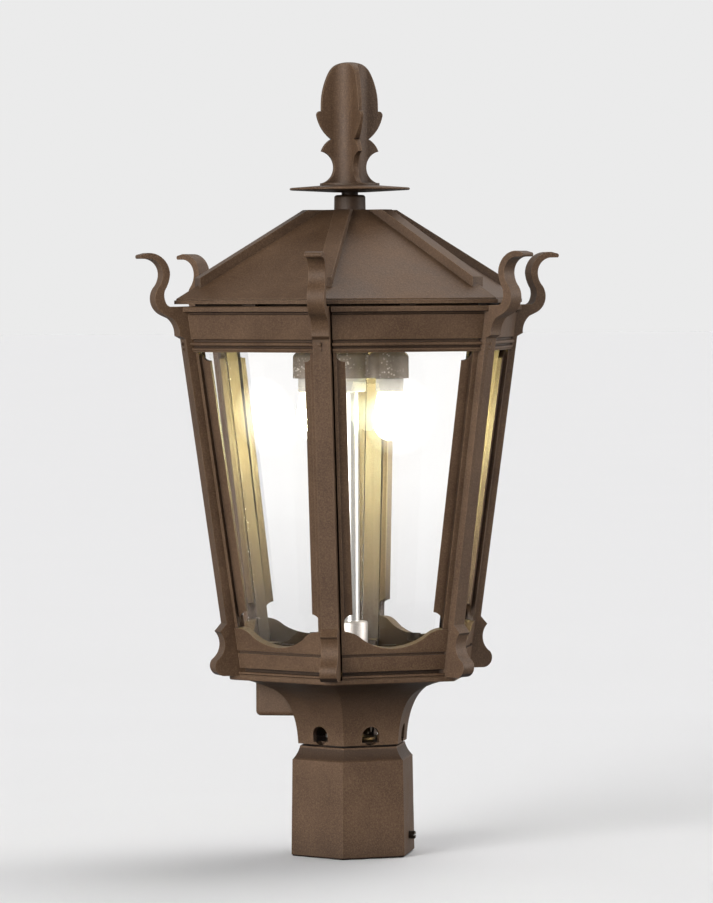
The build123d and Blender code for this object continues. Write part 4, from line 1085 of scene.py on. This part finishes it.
@dataclass
class Burner:
    """Burner head, nozzles and mantles, with sizes in millimetres."""

    paint: Paint
    spread: float = 29.6
    head_low: float = 358.5
    head_share: float = 0.815
    tube_r: float = 5.95
    union_r: float = 11.4
    union_groove: float = 0.5
    union_chamfer: float = 1.6
    nozzle_low: float = 348.0
    nozzle_r: float = 10.45
    nozzle_bore: float = 5.1
    nozzle_step: float = 0.3
    play: float = 0.02
    drop: float = 0.1
    mantle_low: float = 311.5
    mantle_r: float = 11.5
    taper: float = 0.5
    pinch: float = 1.5
    wall: float = 0.5
    folds: int = 32
    fold_depth: float = 0.55
    fold_reach: float = 9.0
    map_height: float = 40.0
    sides: int = 56
    bag_sides: int = 64
    arc_steps: int = 8

    def build(self) -> None:
        """Build the burner."""
        head = casting_copy("burner_manifold", "burner_head_cast", 40.0)
        self.squash(head)
        self.paint.dress(head, Coat.IRON, "burner_manifold")
        self.union()
        for side, sign in (("left", -1), ("right", 1)):
            self.nozzle(side, sign)
            self.mantle(side, sign)

    def squash(self, head: Piece) -> None:
        """Lower the head's rounded top to where the windows show it.

        Args:
            head: the burner head.
        """
        activate(head)
        bpy.ops.object.mode_set(mode="EDIT")
        bpy.ops.mesh.select_all(action="SELECT")
        foot = (0, 0, self.head_low * MM)
        bpy.ops.transform.resize(value=(1, 1, self.head_share), center_override=foot)
        bpy.ops.object.mode_set(mode="OBJECT")

    def union(self) -> None:
        """Turned collar that joins the tube to the head, with a rolled lower lip."""
        low, high, bore = self.nozzle_low + self.drop, self.head_low, self.tube_r
        outer, top = self.union_r, self.head_low - self.play
        inner, lip = outer - self.union_groove, outer - self.union_chamfer
        profile = [(bore, top), (bore, low), (lip, low)]
        profile += rounded((lip, low), (outer, self.nozzle_low + 1.7), 0.4, 4)
        profile += [(outer, high - 2.4), (inner, high - 2.1), (inner, high - 1.5)]
        profile += [(outer, high - 1.2), (outer, top), (bore, top)]
        ring = turned("tube_union_ring", profile, self.sides)
        smooth(ring)
        self.paint.dress(ring, Coat.CERAMIC, "tube_union", slot=Coat.IRON)

    def nozzle(self, side: str, sign: int) -> None:
        """Stepped ceramic nozzle with a rolled lip.

        Args:
            side: left or right, for its name.
            sign: -1 for the left outlet, 1 for the right.
        """
        low, high = self.nozzle_low, self.head_low
        bore, outer, inner = self.nozzle_bore, self.nozzle_r, self.nozzle_r - self.nozzle_step
        profile = [(bore, high), (bore, low + self.drop), (9.2, low + self.drop)]
        profile += rounded((9.2, low + self.drop), (outer, low + 1.4), 0.35, 4)
        profile += [(outer, low + 2.6), (inner, low + 2.9), (inner, low + 3.3), (outer, low + 3.6)]
        profile += [(outer, high - 0.5), (10.1, high - self.play), (bore, high - self.play)]
        piece = turned(f"nozzle_{side}_ceramic", profile, self.sides)
        self.stand(piece, sign)
        smooth(piece)
        self.paint.dress(piece, Coat.CERAMIC, f"nozzle_{side}")

    def stand(self, piece: Piece, sign: int) -> None:
        """Move a piece made on the axis to its outlet."""
        piece.matrix_world = Matrix.Translation((sign * self.spread * MM, 0, 0))
        settle(piece)

    def mantle(self, side: str, sign: int) -> None:
        """Soft knitted bag, gathered at its neck.

        Args:
            side: left or right, for its name.
            sign: -1 for the left outlet, 1 for the right.
        """
        low, top, radius = self.mantle_low, self.nozzle_low, self.mantle_r
        profile = [(0.0, low)]
        for k in range(1, self.arc_steps + 1):
            turn = math.radians(90 * k / self.arc_steps)
            profile.append((radius * math.sin(turn), low + radius * (1 - math.cos(turn))))
        for k in range(1, self.arc_steps + 1):
            share = k / self.arc_steps
            waist = radius - self.taper * share - self.pinch * share**3
            profile.append((waist, low + radius + (top - low - radius - 0.2) * share))
        bag = turned(f"mantle_{side}_bag", profile, self.bag_sides)
        self.gather(bag, top)
        self.unwrap(bag)
        activate(bag)
        wall = bag.modifiers.new("wall", "SOLIDIFY")
        wall.thickness = self.wall * MM
        wall.offset = -1.0
        bpy.ops.object.modifier_apply(modifier="wall")
        self.stand(bag, sign)
        smooth(bag, 70)
        self.paint.dress(bag, Coat.MANTLE, f"mantle_{side}")

    def gather(self, bag: Piece, top: float) -> None:
        """Pull every other line of loops in towards the neck, as a draw thread does.

        Args:
            bag: the mantle, still on the axis.
            top: height of its neck.
        """
        for vertex in bag.data.vertices:
            angle = math.atan2(vertex.co.y, vertex.co.x)
            near = max(0.0, 1 - (top * MM - vertex.co.z) / (self.fold_reach * MM))
            fold = math.cos(angle * self.folds) * self.fold_depth * MM * near
            reach = math.hypot(vertex.co.x, vertex.co.y)
            if reach > ON_AXIS:
                vertex.co.x *= (reach - abs(fold)) / reach
                vertex.co.y *= (reach - abs(fold)) / reach

    def unwrap(self, bag: Piece) -> None:
        """Give the bag a map that runs once round it.

        Args:
            bag: the mantle, still on the axis.
        """
        layer = bag.data.uv_layers.new(name="round")
        for loop in bag.data.loops:
            spot = bag.data.vertices[loop.vertex_index].co
            around = math.atan2(spot.y, spot.x) / math.tau
            layer.data[loop.index].uv = (around, spot.z / MM / self.map_height)


@dataclass
class GasTrain:
    """Tube, mixer, air shutter, orifice and gas cock."""

    paint: Paint
    pieces: tuple[tuple[str, Coat, str], ...] = (
        ("venturi_tube", Coat.ALUMINIUM, BASE),
        ("mixer", Coat.CAST_ALUMINIUM, BASE),
        ("mixer_nut", Coat.ALUMINIUM, BASE),
        ("air_shutter", Coat.ALUMINIUM, "shutter"),
        ("orifice", Coat.BRASS, BASE),
        ("gas_cock_body", Coat.BRASS, BASE),
        ("gas_cock_plug", Coat.BRASS, "cock_plug"),
        ("gas_seat", Coat.BRASS, BASE),
    )

    def build(self) -> None:
        """Weld and dress the pieces of the gas way."""
        for node, coat, body in self.pieces:
            self.paint.dress(casting_copy(node, f"{node}_metal"), coat, node, body)


@dataclass
class Fastenings:
    """Screws, nuts, tie rod and bridge bar."""

    paint: Paint
    nodes: tuple[str, ...] = (
        "collar_set_screws",
        "bell_screws",
        "plate_screws",
        "frame_screws",
        "corner_bolts",
        "bridge_screws",
        "bridge_bar",
        "tie_rod",
        "tie_nuts",
    )
    blacked: tuple[str, ...] = ("collar_set_screws",)

    def build(self) -> None:
        """Weld and dress the fastenings."""
        for node in self.nodes:
            coat = Coat.BLACKED if node in self.blacked else Coat.STEEL
            self.paint.dress(casting_copy(node, f"{node}_steel"), coat, node)


# ---------------------------------------------------------------- studio
@dataclass(frozen=True)
class SoftLight:
    """A broad light: where it stands in degrees, its strength, its breadth in degrees and its tint."""

    name: str
    azimuth: float
    elevation: float
    strength: float
    spread: float
    tint: tuple[float, float, float]


@dataclass
class Studio:
    """Pale floor, soft light and the camera at the photograph's place."""

    distance: float = 3757.5
    azimuth: float = 9.23
    eye: float = 429.3
    lens: float = 198.94
    pitch: float = -1.922
    yaw: float = -0.0615
    roll: float = -0.30
    floor_r: float = 40.0
    floor_drop: float = 0.0004
    floor_tone: float = 0.79
    bounce: float = 0.35
    backdrop: float = 0.83
    horizon: float = 0.75
    zenith: float = 0.26
    left_side: float = 1.3
    right_side: float = 0.72
    dark_flag: float = 0.12
    open_flag: float = 1.15
    rear_flag: float = 0.55
    sky_tint: Colour = colour(1.0, 0.985, 0.965)
    glow: float = 3.3
    glow_tint: tuple[float, float, float] = (0.74, 1.0, 0.70)
    glow_spread: float = 0.0296
    glow_level: float = 0.327
    glow_r: float = 0.0135
    glow_lamps: tuple[str, ...] = ("glow_left", "glow_right")
    soft_lights: tuple[SoftLight, ...] = (
        SoftLight("soft_key", -118.0, 7.0, 5.4, 40.0, (1.0, 0.985, 0.965)),
        SoftLight("soft_fill", 6.0, 12.0, 3.2, 50.0, (1.0, 0.98, 0.96)),
        SoftLight("soft_top", 58.0, 58.0, 1.5, 45.0, (1.0, 0.975, 0.95)),
    )
    self_lit: tuple[str, ...] = (
        "burner_head_cast",
        "tube_union_ring",
        "nozzle_left_ceramic",
        "nozzle_right_ceramic",
    )

    def build(self) -> None:
        """Build the set."""
        self.floor()
        self.world()
        self.lamps()
        self.camera()

    def floor(self) -> None:
        """A wide pale disc just under the collar."""
        deselect()
        place = (0, 0, -self.floor_drop)
        bpy.ops.mesh.primitive_circle_add(vertices=96, radius=self.floor_r, fill_type="NGON", location=place)
        disc = bpy.context.object
        disc.name = "floor"
        material = bpy.data.materials.new("floor_paper")
        material.use_nodes = True
        graph = Graph(material.node_tree)
        shader = material.node_tree.nodes["Principled BSDF"]
        cloud = graph.noise(graph.spot(), 3.0, 2.0)
        tone = self.floor_tone
        body = graph.mix(
            cloud, colour(tone * 0.985, tone, tone * 1.03), colour(tone * 0.995, tone * 1.01, tone * 1.04)
        )
        seen = graph.add("LightPath").outputs["Is Camera Ray"]
        dim = colour(self.bounce, self.bounce, self.bounce)
        graph.feed(shader.inputs["Base Color"], graph.mix(seen, dim, body))
        shader.inputs["Roughness"].default_value = 0.9
        shader.inputs["Specular IOR Level"].default_value = 0.0
        disc.data.materials.append(material)

    def world(self) -> None:
        """Pale light from all round, dimmer overhead, seen by the camera as the floor's own tone."""
        world = bpy.data.worlds.new("studio")
        bpy.context.scene.world = world
        world.use_nodes = True
        graph = Graph(world.node_tree)
        graph.tree.nodes.clear()
        ray = graph.add("TexCoord").outputs["Generated"]
        side, _, up = graph.parts(ray)
        level = graph.band(up, 0.0, 0.9, self.horizon, self.zenith)
        height = graph.times(level, graph.band(side, -1.0, 1.0, self.left_side, self.right_side))
        mirrored = graph.times(height, self.flags(graph, ray))
        path = graph.add("LightPath")
        glossy = path.outputs["Is Glossy Ray"]
        strength = graph.add("Mix", {"data_type": "FLOAT"}, i0=glossy, i2=height, i3=mirrored).outputs[0]
        light = graph.add("Background", Color=self.sky_tint, Strength=strength)
        seen = graph.add("Background", Color=colour(1, 1, 1), Strength=self.backdrop)
        rays = path.outputs["Is Camera Ray"]
        both = graph.add("MixShader", i0=rays, i1=light.outputs[0], i2=seen.outputs[0])
        graph.add("OutputWorld", i0=both.outputs[0])

    def flags(self, graph: Graph, ray: Socket) -> Socket:
        """Dark cards before and behind the camera's place, which only shiny metal mirrors.

        Args:
            graph: the world's graph.
            ray: the direction that is looked in.

        Returns:
            What the sky's light is multiplied by.
        """
        swing = math.radians(self.azimuth)
        toward = graph.dot(ray, (math.sin(swing), -math.cos(swing), 0.0))
        front = graph.band(toward, 0.97, 0.93)
        off_rear = graph.math("ABSOLUTE", graph.math("ADD", toward, self.rear_flag))
        soft = {"interpolation_type": "SMOOTHSTEP"}
        ends = {"From_Min": 0.12, "From_Max": 0.22, "To_Min": 0.0, "To_Max": 1.0}
        rear = graph.add("MapRange", soft, Value=off_rear, **ends)
        return graph.band(graph.times(front, rear.outputs[0]), 0.0, 1.0, self.dark_flag, self.open_flag)

    def hang(self, name: str, kind: str) -> Piece:
        """Add a light to the scene.

        Args:
            name: the light's name.
            kind: the type of light.

        Returns:
            The light's object.
        """
        item = bpy.data.objects.new(name, bpy.data.lights.new(name, kind))
        bpy.context.scene.collection.objects.link(item)
        return item

    def lamps(self) -> None:
        """A broad key from the left, fill, a soft top light from behind, and the glow of the mantles."""
        for light in self.soft_lights:
            box = self.hang(light.name, "SUN")
            box.data.energy = light.strength
            box.data.angle = math.radians(light.spread)
            box.data.color = light.tint
            swing, rise = math.radians(light.azimuth), math.radians(light.elevation)
            level = math.cos(rise)
            toward = Vector((level * math.cos(swing), level * math.sin(swing), math.sin(rise)))
            box.location = toward * 3
            box.rotation_euler = toward.to_track_quat("Z", "Y").to_euler()
        for name, side in zip(self.glow_lamps, (-1, 1)):
            bulb = self.hang(name, "POINT")
            bulb.data.energy = self.glow
            bulb.data.color = self.glow_tint
            bulb.data.shadow_soft_size = self.glow_r
            bulb.data.use_soft_falloff = False
            bulb.location = (side * self.glow_spread, 0, self.glow_level)
            bulb.visible_glossy = False
            bulb.visible_transmission = False

    def leave_out(self, name: str, pieces: Sequence[str], lamps: Sequence[str]) -> None:
        """Keep lamps off some pieces.

        Args:
            name: the name of the collection that holds the pieces.
            pieces: names of what the lamps leave alone.
            lamps: names of the lamps.
        """
        shunned = bpy.data.collections.new(name)
        for piece in pieces:
            shunned.objects.link(bpy.data.objects[piece])
        for entry in shunned.collection_objects:
            entry.light_linking.link_state = "EXCLUDE"
        for lamp in lamps:
            bpy.data.objects[lamp].light_linking.receiver_collection = shunned

    def shield(self) -> None:
        """Keep the mantles' lamps off what the glowing cloth itself lights, and the fill off the floor."""
        self.leave_out("unlit_by_lamps", ("floor", *self.self_lit), self.glow_lamps)
        self.leave_out("unlit_by_fill", ("floor",), ("soft_fill",))

    def camera(self) -> None:
        """Stand the camera where the photograph was taken from."""
        data = bpy.data.cameras.new("photo_camera")
        data.lens = self.lens
        data.sensor_width = 36.0
        data.sensor_fit = "AUTO"
        data.clip_end = 100.0
        eye = bpy.data.objects.new("photo_camera", data)
        bpy.context.scene.collection.objects.link(eye)
        swing = math.radians(self.azimuth)
        reach = self.distance * MM
        eye.location = (reach * math.sin(swing), -reach * math.cos(swing), self.eye * MM)
        swung = Matrix.Rotation(swing + math.radians(self.yaw), 4, "Z")
        tipped = Matrix.Rotation(math.radians(90 + self.pitch), 4, "X")
        rolled = Matrix.Rotation(math.radians(self.roll), 4, "Z")
        eye.rotation_euler = (swung @ tipped @ rolled).to_euler()
        bpy.context.scene.camera = eye
        bpy.context.scene.view_settings.view_transform = "Standard"


def main() -> None:
    """Build the lantern's looks and its studio, in order."""
    logging.basicConfig(level=logging.INFO, format="%(name)s: %(message)s")
    studio = Studio()
    studio.build()
    paint = Paint()
    for assembly in (Castings(paint), Glazing(paint), Burner(paint), GasTrain(paint), Fastenings(paint)):
        assembly.build()
        LOG.info("%s done", type(assembly).__name__)
    studio.shield()


if __name__ == "__main__":
    main()
